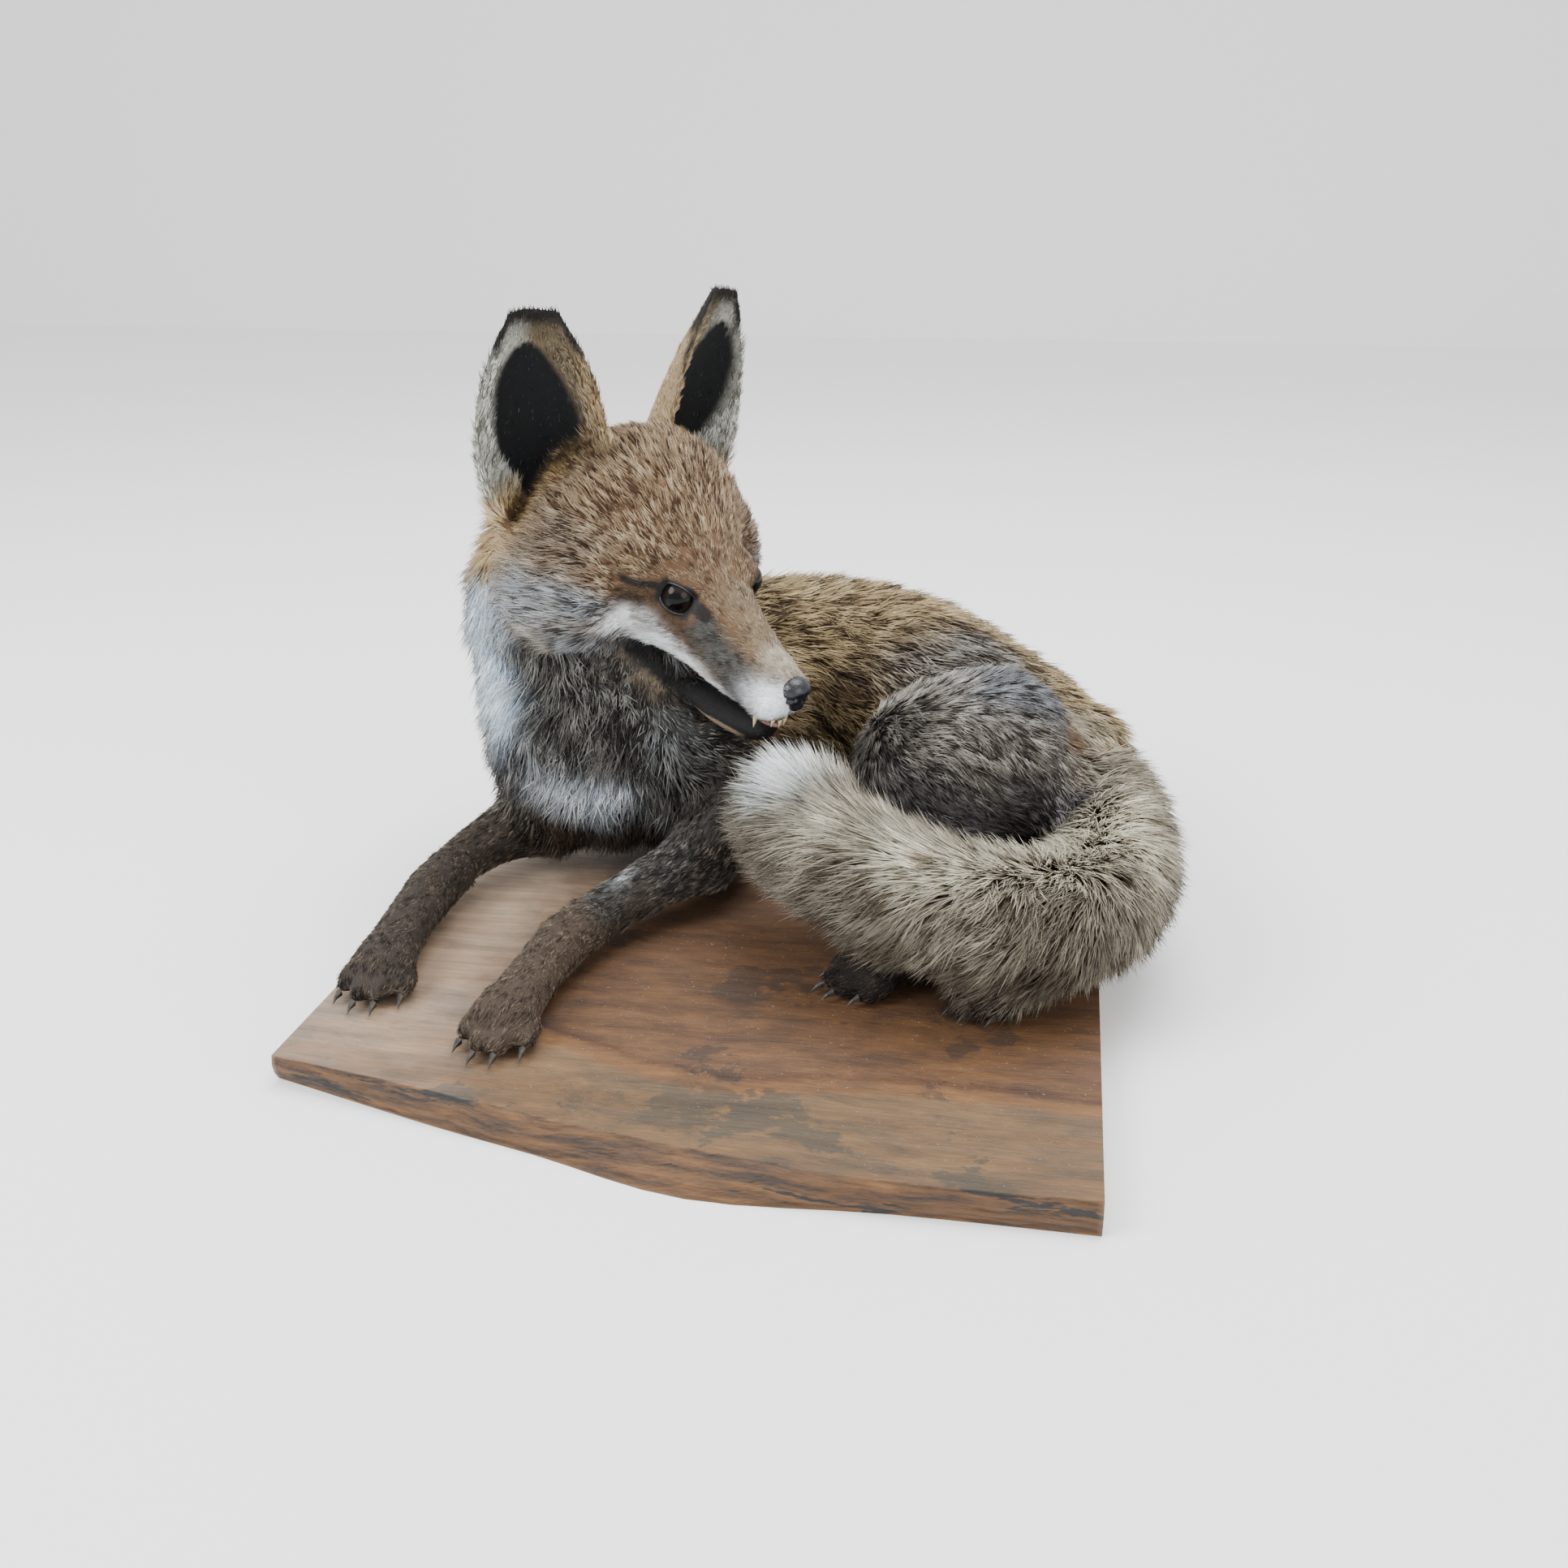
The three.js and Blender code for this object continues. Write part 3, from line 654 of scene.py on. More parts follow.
REGION_FUR = by_region({
    "head": "crown", "lower_jaw": "lip black", "ear": "ear back", "neck": "chest", "trunk": "back",
    "thigh_left": "haunch", "thigh_right": "flank", "hindleg": "shadow", "forepaw_left": "leg tan",
    "fore": "leg", "hindfoot": "foot", "tail": "tail grey",
})
HEAD_PATCHES = (  # (fur, centre, reach) in head millimetres; the second number counts from the middle line
    ("temple", (-36, 60, 16), (22, 16, 16)),
    ("temple", (-66, 66, 12), (20, 16, 20)),
    ("bridge", (26, 0, 6), (16, 9, 10)),
    ("bridge", (50, 0, -6), (26, 9, 10)),
    ("rump cream", (57, 0, -8), (9, 9, 7)),
    ("russet", (0, 28, -13), (17, 10, 6.5)),
    ("russet", (-12, 34, -4), (12, 10, 6)),
    ("russet", (14, 20, -14), (14, 8, 7)),
    ("mask", (22, 19, -8), (9, 6, 7)),
    ("mask", (33, 17, -16), (13, 7, 9)),
    ("mask", (44, 15, -25), (13, 8, 9)),
    ("mask", (46, 13, -32), (12, 8, 6)),
    ("lip white", (62, 8, -27), (14, 9, 9)),
    ("lip white", (66, 2, -32), (10, 12, 6)),
    ("lip white", (27, 14, -40), (16, 8, 6)),
    ("lip white", (12, 20, -33), (14, 8, 7)),
    ("lip white", (-2, 28, -25), (13, 9, 6.5)),
    ("lip white", (-14, 38, -16), (13, 10, 7)),
    ("cheek", (-28, 56, -9), (16, 12, 8)),
    ("cheek", (-40, 66, -12), (18, 14, 12)),
    ("cheek", (-26, 48, -30), (20, 16, 10)),
    ("cheek", (-60, 66, -24), (22, 18, 14)),
    ("gold", (-80, 56, 8), (16, 22, 18)),
    ("gold", (-92, 30, 20), (22, 40, 26)),
    ("chest", (-50, 40, -52), (40, 40, 12)),
)
BODY_PATCHES = (  # (fur, centre, reach) in millimetres
    ("chest", (-34, 46, 92), (36, 36, 44)),
    ("gold", (-120, 130, 200), (50, 30, 40)),
    # the white bib, its blue tint painted cool window light
    ("bib", (-162, 70, 172), (24, 28, 18)),
    ("bib", (-157, 56, 150), (24, 34, 26)),
    ("bib", (-151, 42, 124), (20, 30, 22)),
    ("gold", (-168, 84, 199), (26, 32, 15)),
    ("cheek", (-134, 20, 98), (20, 20, 14)),
    # the white chest fringe, its blue tint painted cool window light
    ("chest white", (-108, 12, 84), (30, 17, 13)),
    ("chest white", (-78, 13, 81), (20, 14, 8)),
    ("cheek", (-48, 32, 112), (14, 13, 13)),
    # grey cheek fur under the jaw, lighter than the fur there: painted light that brightens the jaw's cast
    # shadow
    ("cheek", (-36, 38, 104), (13, 14, 13)),
    ("cheek", (-120, 34, 154), (22, 22, 15)),
    ("shadow", (-22, 34, 70), (18, 26, 18)),
    ("shadow", (-70, 26, 40), (60, 30, 12)),
    ("ochre", (2, 78, 108), (16, 18, 14)),
    ("crest", (40, 104, 120), (20, 14, 10)),
    ("crest", (70, 122, 136), (20, 14, 10)),
    ("crest", (104, 156, 142), (20, 14, 10)),
    ("haunch", (80, 104, 130), (34, 32, 16)),
    ("haunch", (108, 130, 138), (32, 28, 17)),
    ("silver", (132, 122, 134), (30, 36, 17)),
    ("haunch dark", (64, 50, 116), (24, 20, 18)),
    ("silver", (122, 80, 136), (26, 24, 15)),
    ("silver", (152, 80, 128), (16, 20, 14)),
    ("rump cream", (174, 108, 106), (18, 22, 15)),
    ("orange", (180, 84, 106), (20, 15, 9)),
    ("orange", (190, 66, 106), (18, 12, 8)),
    # the dark arc between the haunch and the tail: dark fur with painted shade in the crease
    ("crease dark fur and shade", (48, 32, 96), (22, 15, 15)),
    ("crease dark fur and shade", (82, 26, 84), (26, 15, 15)),
    ("crease dark fur and shade", (118, 28, 74), (26, 15, 15)),
    ("crease dark fur and shade", (150, 42, 82), (22, 15, 13)),
    ("tail cream", (76, -58, 110), (34, 26, 15)),
    ("tail cream", (124, -80, 102), (36, 22, 15)),
    ("tail cream", (168, -54, 98), (30, 26, 15)),
    ("tail cream", (190, -4, 98), (28, 40, 16)),
    ("tail cream", (206, -34, 84), (14, 28, 12)),
    ("tail white", (40, -6, 112), (28, 30, 14)),
    ("tail white", (26, -22, 110), (20, 18, 11)),
    ("tail low", (10, -42, 92), (16, 13, 14)),
    ("tail low", (110, -104, 44), (60, 24, 18)),
    ("tail low", (60, -84, 50), (40, 24, 14)),
    ("tail low", (66, -92, 88), (25, 16, 15)),
    ("tail low", (180, -90, 44), (40, 30, 18)),
    ("tail low", (210, 40, 40), (30, 60, 22)),
    ("leg slate", (-40, -2, 54), (16, 24, 14)),
    ("leg slate", (-62, -40, 46), (10, 20, 10)),
    # a thin pale line on top of the left foreleg: pale hairs and a painted highlight
    ("leg pale hairs and highlight", (-60, -22, 52), (5, 13, 5)),
    ("leg tan", (-118, 60, 60), (22, 24, 16)),
    ("flank", (60, 230, 60), (120, 30, 34)),
    ("flank", (-80, 190, 80), (60, 50, 40)),
    ("belly", (20, 100, 20), (120, 90, 14)),
)
FUR_NAMES = tuple(FURS)
PATCH_FULL, PATCH_EDGE = 1.15, 0.8  # how full a patch is in its middle, and how far its edge is drawn in
RAGGED = (0.55, 0.9)  # the least share of a patch that grows, and how much more may
HEAD_LEFT = 1.6  # how quickly the body's patches end where the head starts
TAIL_BLOTCH = (0.45, 0.56, 0.72)  # how dark the blotches are, and the noise where they start and are full

# The marks of the face are lines through head millimetres, on the right side unless they say otherwise.
REAR_MOUTH = ((-14, -31, -32), (-7, -27, -36), (0, -24, -39), (6, -21, -42), (12, -17, -46), (27, -12, -50))
MOUTH_RISE = (2, 0, 6)  # from the middle of the lips to their upper edge
MOUTH_EDGE = ((-18, -37, -36), (-4, -34, -41), (2, -31, -43), (13, -24, -50), (21, -16, -57), (28, -10, -61))
MOUTH_SIDE = ((-24, 36, -38), (2, 30, -46), (26, 16, -58), (44, 8, -62))  # on the left side
EYE_LINES = (  # (line, half width) of the dark skin at the corners of an eye
    (((8, -24, 5), (12, -22, 3.5), (16, -20.5, 2), (20.5, -19, 0)), 2.5),
    (((-2, -31, 9), (-6, -34, 7.5), (-10, -38, 6.5), (-16, -43, 8)), 1.0),
)
CHIN_HALF_WIDTH = 34
CHIN_STARTS, CHIN_ENDS, CHIN_FUR_ENDS = (-22, -8), (66, 70), (44, 52)  # along the head
LIP_FADES, CHIN_FADES, UNDER_CHIN = (0.4, 2.2), (-0.6, 0.8), (-5, -3)  # up from the lip or the chin's edge
REAR_LIP, REAR_EDGE = (3.6, 5.0), (0.6, 0.8, 1.8)  # distances where a line's mark fades, after its strength
FACE_SIDE = (0.57, -0.64, 0.52)  # the way in which the right side of the face is seen
MARK_DEPTH = 24  # a mark holds this far in through the coat,
FAR_OFF = 100  # and places deeper than that count as farther off by this

EAR_HEIGHT = 112
EAR_WIDTHS = (15, 24, 30.5, 31.5, 28.3, 21.5, 11)  # half widths from the root to the tip
EAR_HOLLOW = {-1: (0.06, 0.76), 1: (0.36, 0.58)}  # how far the black hollow lies outwards, and its half width
EAR_POSES = {-1: (8, 9.5, 38), 1: (10, 7, 13)}  # degrees that an ear leans back, splays and turns
HOLLOW_MIDDLE, HOLLOW_REACH = 0.46, 0.40  # shares of the ear's height
HOLLOW_DRIFT, HOLLOW_BLUNT, HOLLOW_EDGE = 0.16, 0.4, 0.16


def fur_shares(p, n, shares):
    """How much of each fur grows at each place: a region's own, with patches over it."""
    wear = np.zeros((len(p), len(FUR_NAMES)))
    for r, fur in REGION_FUR.items():
        wear[:, FUR_NAMES.index(fur)] += share_of(shares, r)
    ragged = RAGGED[0] + RAGGED[1] * patchy(p, 9 * MM, 3)
    q = in_head(p)
    ears = share_of(shares, "ear_left", "ear_right")
    head = np.clip(share_of(shares, "head", "lower_jaw", "neck"), 0, 1) * (1 - ears)
    body = 1 - np.clip(share_of(shares, "head") * HEAD_LEFT, 0, 1)

    def lay(fur, amount):
        amount = np.clip(amount, 0, 1)[:, None]
        wear[:] = wear * (1 - amount) + np.eye(len(FUR_NAMES))[FUR_NAMES.index(fur)] * amount

    for patches, where, place in ((BODY_PATCHES, body, p / MM), (HEAD_PATCHES, head, mirrored(q))):
        for fur, centre, reach in patches:
            away = (((place - centre) / reach) ** 2).sum(1)
            lay(fur, where * PATCH_FULL * np.exp(-(away * PATCH_EDGE) ** 1.5) * ragged)
    tail = shares[:, [k for k, r in enumerate(REGIONS) if r.startswith("tail")]].sum(1)
    lay("tail low", TAIL_BLOTCH[0] * tail * ramp(patchy(p, 15 * MM, 12), *TAIL_BLOTCH[1:]))
    chin = (np.abs(q[:, 1]) < CHIN_HALF_WIDTH) * ramp(q[:, 0], *CHIN_STARTS) * fade(q[:, 0], *CHIN_ENDS)
    chin *= np.clip(share_of(shares, "head", "lower_jaw"), 0, 1)
    lip = np.interp(q[:, 0], *LIP_LINE)
    lay("lip black", chin * fade(q[:, 2] - lip, *LIP_FADES))
    edge = np.interp(q[:, 0], *CHIN_EDGE)
    lay("chin", chin * fade(q[:, 2] - edge, *CHIN_FADES) * fade(q[:, 0], *CHIN_FUR_ENDS))
    lay("shadow", chin * fade(q[:, 2] - edge, *UNDER_CHIN))
    below = np.clip(share_of(shares, "neck", "lower_jaw"), 0, 1)
    for side in (1, -1):
        away = np.minimum(near_seen(q, REAR_MOUTH, side), near_seen(q - MOUTH_RISE, REAR_MOUTH, side))
        lay("lip black", below * fade(away, *REAR_LIP))
        lay("chin", REAR_EDGE[0] * below * fade(near_seen(q, MOUTH_EDGE, side), *REAR_EDGE[1:]))
    for side, name in SIDES:
        mark_ear(q, n @ np.array(HEAD_TURN), share_of(shares, "ear_" + name), side, lay)
        lay("lip black", eye_surround(side, q) * head)
    return wear


def near_line(q, line, side):
    """The distance of each place from a line, or from its mirror image."""
    points = np.array(line) * [1, side, 1]
    best = np.full(len(q), 1e9)
    for a, b in zip(points, points[1:]):
        t = np.clip((q - a) @ (b - a) / ((b - a) @ (b - a)), 0, 1)
        best = np.minimum(best, np.linalg.norm(q - a - t[:, None] * (b - a), axis=1))
    return best


def near_seen(q, line, side):
    """The distance from a line, or from its mirror image, as it is seen from the side of the face."""
    way = np.array(FACE_SIDE) * [1, side, 1]
    points = np.array(line) * [1, side, 1]
    away = near_line(q - (q @ way)[:, None] * way, points - (points @ way)[:, None] * way, 1)
    return away + FAR_OFF * (near_line(q, line, side) > MARK_DEPTH)


def near_eye_lines(q, side):
    """How far each place is from each dark line at the corners of an eye, and the line's half width."""
    shift = np.array(EYE_AT[side]) - np.array(EYE_AT[-1]) * [1, -side, 1]
    return [(near_seen(q - shift, line, -side), half) for line, half in EYE_LINES]


def eye_surround(side, q):
    """The dark skin at the edges of the lids, and the dark lines that run on from both corners."""
    outside, ahead = lid_gap(side, q)
    r = np.linalg.norm(q - np.array(EYE_AT[side]), axis=1)
    rim = fade(outside, 0.6, 1.8) * (ahead > -2) * fade(r, EYE_RADIUS + 2.4, EYE_RADIUS + 4.4)
    for away, half in near_eye_lines(q, side):
        rim = np.maximum(rim, 0.95 * fade(away, half, half + 1.6))
    return rim


def in_ear(side, q):
    """Where each place is on an ear, to the left as a share of its half width and up as a share of its
    height, and the way in which the ear opens."""
    lean, splay, turn = EAR_POSES[side]
    pose = Euler([math.radians(a) for a in (-side * splay, -lean, side * turn)]).to_matrix()
    e = (q - np.array(on_side(side, EAR_ROOT))) @ np.array(pose)  # x out of the hollow, z from root to tip
    v = e[:, 2] / EAR_HEIGHT
    wide = np.interp(v, np.linspace(0, 1, len(EAR_WIDTHS)), EAR_WIDTHS)
    return e[:, 1] / wide, v, np.array(pose)[:, 0]


def ear_marks(side, q, n):
    """How much of each place on an ear is its hollow, its inner side, its black edge and its outer rim."""
    y, v, opens = in_ear(side, q)
    inner = ramp(n @ opens, -0.15, 0.25)
    lateral = y * side
    shift = EAR_HOLLOW[side][0] + HOLLOW_DRIFT * ramp(v, 0.45, 0.85)
    room = 1 - ((v - HOLLOW_MIDDLE) / HOLLOW_REACH) ** 2
    reach = EAR_HOLLOW[side][1] * np.clip(room, 0, 1) ** HOLLOW_BLUNT
    hollow = inner * fade(np.abs(lateral - shift), reach - HOLLOW_EDGE, reach) * (room > 0)
    edge = np.maximum(ramp(v, 0.92, 0.96), ramp(np.abs(y), 0.7, 0.84) * ramp(v, 0.74, 0.86))
    edge = np.maximum(edge, ramp(np.abs(y), 0.9, 0.99) * ramp(v, 0.55, 0.75))
    return hollow, inner, edge, ramp(lateral, 0.0, 0.5)


def mark_ear(q, n, share, side, lay):
    """A black hollow with pale rims, and a tawny back that turns black towards the tip."""
    hollow, inner, edge, lateral = ear_marks(side, q, n)
    y, v, _ = in_ear(side, q)
    lay("ear black", (1 - inner) * share * ramp(v, 0.72, 0.95))
    lay("ear rim", inner * share)
    lay("ear pale", inner * lateral * share)
    lay("gold", 0.4 * inner * share * ramp(-y * side, 0.6, 0.85) * fade(v, 0.7, 0.9))
    lay("gold", share * fade(v, 0.08, 0.24))
    lay("ear black", inner * share * ramp(v, 0.84, 0.97) * 0.6)
    lay("ear black", share * edge)
    lay("ear hollow", hollow * share)


DARK_TIP, PALE_TIP = 0.8, 1.18  # the light of a dark hair's tip, of its root, and of a pale one's, of its own


def fur_colours(wear, draw):
    """Root, middle and tip colours, with a random draw for each hair deciding on dark and pale ones."""
    root, middle, tip = (wear @ np.array([colour(*FURS[f][k]) for f in FUR_NAMES]) for k in range(3))
    dark, pale = (wear @ np.array([FURS[f][k] for f in FUR_NAMES]) for k in (3, 4))
    is_dark = (draw < dark)[:, None]
    is_pale = (draw > 1 - pale)[:, None]
    tip = np.where(is_dark, root * DARK_TIP, np.where(is_pale, tip * PALE_TIP, (tip + middle) / 2))
    middle = np.where(is_dark, root, np.where(is_pale, (middle + tip) / 2, middle))
    return root, middle, np.clip(tip, 0, 1)


# ---------------- the coat

HAIR = by_region({  # (length, width, hairs per square millimetre, degrees of lift at root and tip, unrest)
    "head": (9.5, 0.72, 1.04, 28, 6, 1), "lower_jaw": (4.0, 0.55, 0.7, 16, 4, 1),
    "ear": (3.6, 0.6, 0.84, 20, 6, 0.6), "neck": (19, 1.02, 0.74, 44, 10, 2.1),
    "trunk": (16, 1.12, 0.44, 40, 8, 1.3), "thigh_left": (11.5, 0.85, 0.98, 38, 8, 1.3),
    "thigh_right": (14, 1.1, 0.38, 40, 8, 1.2), "hindleg": (11, 1.05, 0.42, 30, 6, 1),
    "foreleg_left": (6.5, 0.64, 1.1, 17, 4, 0.6), "foreleg_right": (6.2, 0.64, 1.1, 17, 4, 0.6),
    "forepaw": (4.2, 0.58, 1.25, 16, 4, 0.5), "hindfoot": (4.6, 0.62, 1.0, 18, 5, 0.5),
    "tail_end": (26, 1.12, 0.94, 47, 17, 1.6), "tail": (22.5, 1.12, 0.94, 46, 17, 1.3),
})
LOCK_HAIRS = 11
LOCK_SHARE = 0.7  # the share of hairs that take the tone of their lock
LONG = 6.5 * MM  # hair longer than this bends along its length
PIECE_TRIANGLES = 196000
TUFT_RING = 0.35
PATCH = 0.003  # the width of a tuft's own patch in the OFBake map
BOARD_TOP = 15 * MM
FEWEST = 50  # a piece with fewer tufts than this is left out
FACE_STARTS = (-45, 20)  # along the head, where the hair starts to shorten and is shortest
EYE_SHORTER, EYE_LINE_SHORTER = 0.55, 0.5  # shares of length lost round an eye and along its dark lines
FRINGE_ENDS, EAR_FOOT = (0.75, 0.9), (0.04, 0.3)  # shares of an ear's height
FRINGE_LONGER, EAR_FOOT_LONGER, FRINGE_LIFT = 0.9, 2.4, 12
THROAT_TRIM = (9, 26, 0.62, 0.4)  # (from, to, share of length lost, share of lift lost) beside the mouth
REAR_TRIM = (5, 10, 0.5, 0.5)  # and at its corners
CHEEK_RUFF = ((-50, 56, -22), (34, 24, 30))  # (centre, reach) of the longer hair on a cheek
MUZZLE_TIP = ((70, 0, -21), (5, 8, 8))  # (centre, reach) of the bare place under the nose
LIPS_BARE = 0.35  # the share of hair that is gone on the lips
HOLLOW_BARE = 0.93  # and in the hollow of an ear
SOLE = (0.75, 0.95)  # how far down the skin faces where a sole starts and is bare
SOLE_HEIGHT = 12 * MM


def tuft_form(bent):
    """A lock of hair of unit length and radius: a three-sided spike, or one that swells from its root to a
    ring where it can bend."""
    bm = bmesh.new()
    low = TUFT_RING if bent else 0
    bmesh.ops.create_cone(bm, cap_ends=not bent, segments=3, radius1=1, radius2=0, depth=1 - low,
                          matrix=Matrix.Translation((0, 0, (1 + low) / 2)))
    if bent:
        bmesh.ops.create_cone(bm, segments=3, radius1=0, radius2=1, depth=low,
                              matrix=Matrix.Translation((0, 0, low / 2)))
    bmesh.ops.remove_doubles(bm, verts=bm.verts, dist=1e-5)
    bmesh.ops.recalc_face_normals(bm, faces=bm.faces)
    bm.verts.index_update()
    verts = np.array([v.co for v in bm.verts])
    faces = np.array([[v.index for v in f.verts] for f in bm.faces])
    bm.free()
    return verts, faces


class Skin:
    """What the coat needs to know of the skin: its places, facing, lie, furs and unwrap."""

    def __init__(self, mesh):
        ties = Ties(mesh)
        self.p = places(mesh)
        self.n = unit(ties.even(outward(mesh), 3))
        self.shares = region_shares(mesh, ties, 8)
        lie = lie_of_fur(self.p, self.n, self.shares)
        self.lie = unit(across(ties.even(lie, 10), self.n))
        self.wear = fur_shares(self.p, self.n, self.shares)
        table = np.array([HAIR[r] for r in REGIONS])
        (self.length, self.width, self.density, self.root_lift, self.tip_lift,
         self.unrest) = (self.shares @ table).T
        self.length *= MM
        self.width *= MM
        self.density /= MM ** 2
        self.trim()
        mesh.calc_loop_triangles()
        count = len(mesh.loop_triangles)
        for key in ("vertices", "loops"):
            got = np.empty(count * 3, np.int32)
            mesh.loop_triangles.foreach_get(key, got)
            setattr(self, "tri_" + key, got.reshape(-1, 3))
        corners = self.p[self.tri_vertices]
        sides = np.cross(corners[:, 1] - corners[:, 0], corners[:, 2] - corners[:, 0])
        self.tri_area = np.linalg.norm(sides, axis=1) / 2

    def trim(self):
        """Shortens the hair on the face and bares the eyes, nose, mouth, ear hollows and soles."""
        q = in_head(self.p)
        head = share_of(self.shares, "head")
        front = ramp(q[:, 0], *FACE_STARTS) * head
        cheek = np.exp(-(((mirrored(q) - CHEEK_RUFF[0]) / CHEEK_RUFF[1]) ** 2).sum(1)) * head
        self.length *= 1 - 0.5 * front + 0.9 * cheek * (1 - front)
        self.width *= 1 - 0.28 * front + 0.2 * cheek
        self.density *= 1 + 0.3 * front
        self.root_lift *= 1 - 0.35 * front
        bare = np.zeros(len(q))
        for side in (-1, 1):
            outside, ahead = lid_gap(side, q)
            r = np.linalg.norm(q - np.array(EYE_AT[side]), axis=1)
            self.length *= 1 - EYE_SHORTER * fade(r, EYE_RADIUS + 3, EYE_RADIUS + 11) * head
            for away, half in near_eye_lines(q, side):
                self.length *= 1 - EYE_LINE_SHORTER * fade(away, half + 1, half + 6) * head
            bare = np.maximum(bare, (r < EYE_RADIUS + 4) * (ahead > -2) * fade(outside, 0.6, 1.6))
        bare = np.maximum(bare, np.exp(-(((q - MUZZLE_TIP[0]) / MUZZLE_TIP[1]) ** 4).sum(1)))
        facing = self.n @ np.array(HEAD_TURN)
        for side, name in SIDES:
            share = share_of(self.shares, "ear_" + name)
            hollow, inner = ear_marks(side, q, facing)[:2]
            v = in_ear(side, q)[1]
            fringe = inner * (1 - hollow) * fade(v, *FRINGE_ENDS)
            self.length *= 1 + share * (FRINGE_LONGER * fringe + EAR_FOOT_LONGER * fade(v, *EAR_FOOT))
            self.root_lift += share * FRINGE_LIFT * fringe
        for side in (-1, 1):
            for away, (start, end, shorter, flatter) in (
                (near_line(q, MOUTH_SIDE, side), THROAT_TRIM), (near_seen(q, REAR_MOUTH, -side), REAR_TRIM),
            ):
                close = fade(away, start, end)
                self.length *= 1 - shorter * close * (1 - head)
                self.root_lift *= 1 - flatter * close * (1 - head)
        lips, hollow = (self.wear[:, FUR_NAMES.index(f)] for f in ("lip black", "ear hollow"))
        self.bare = np.maximum(bare, LIPS_BARE * ramp(lips, 0.4, 0.7))
        sole = ramp(-self.n[:, 2], *SOLE) * (self.p[:, 2] < BOARD_TOP + SOLE_HEIGHT)
        self.density = self.density * (1 - np.maximum(self.bare, sole)) * (1 - HOLLOW_BARE * hollow)

    def scatter(self, which, count):
        """Random roots on the triangles in the mask, as many for each area as its density asks."""
        weight = self.tri_area * self.density[self.tri_vertices].mean(1) * which
        pick = np.searchsorted(np.cumsum(weight) / weight.sum(), chance.random(count))
        a, b = chance.random((2, count))
        flip = a + b > 1
        a, b = np.where(flip, 1 - a, a), np.where(flip, 1 - b, b)
        mix = np.stack([1 - a - b, a, b], 1)
        corners = self.tri_vertices[pick]

        def at(values):
            v = values[corners]
            return (v * (mix[:, :, None] if v.ndim == 3 else mix)).sum(1)
        uv = (self.tri_uv[pick] * mix[:, :, None]).sum(1)
        return at, uv


def turned(lie, n, angle):
    """The lie turned about the skin's own facing."""
    return lie * np.cos(angle)[:, None] + np.cross(n, lie) * np.sin(angle)[:, None]


LENGTHS, WIDTHS = (0.72, 0.5), (0.75, 0.5)  # each tuft's least share of its region's size, and how much more
LENGTH_PATCHES, RUFFLES = (0.85, 0.3), (0.75, 0.5)  # the same for patches of length and of lift
SWIRL, SWIRL_EACH = 0.7, 0.12  # radians that the lie wanders, by patches and by tufts
LIFT_EACH, LIFT_LOCK = 5, 5  # degrees that the lift of a tuft and of a lock varies
BEND_EACH, BEND_LOCK = 0.07, 0.084  # sideways bends of a tuft and of a lock, in lengths
LEAN_LONG, LEAN_SHORT = 0.4, 0.12  # how far a tuft leans to the middle of its lock, in lengths
TUFT_FLAT = 0.7  # a tuft's depth as a share of its width
SUNK, MOST_SUNK = 0.07, 1.0 * MM  # the share of its length that a root is sunk, and the most
CLEAR, CLEAR_EACH = 0.4 * MM, 0.6 * MM  # tufts keep this far above the board
MOTTLES = ((0.34, 4 * MM, 8), (0.26, 11 * MM, 9))  # (strength, size, seed) of the tone's patches


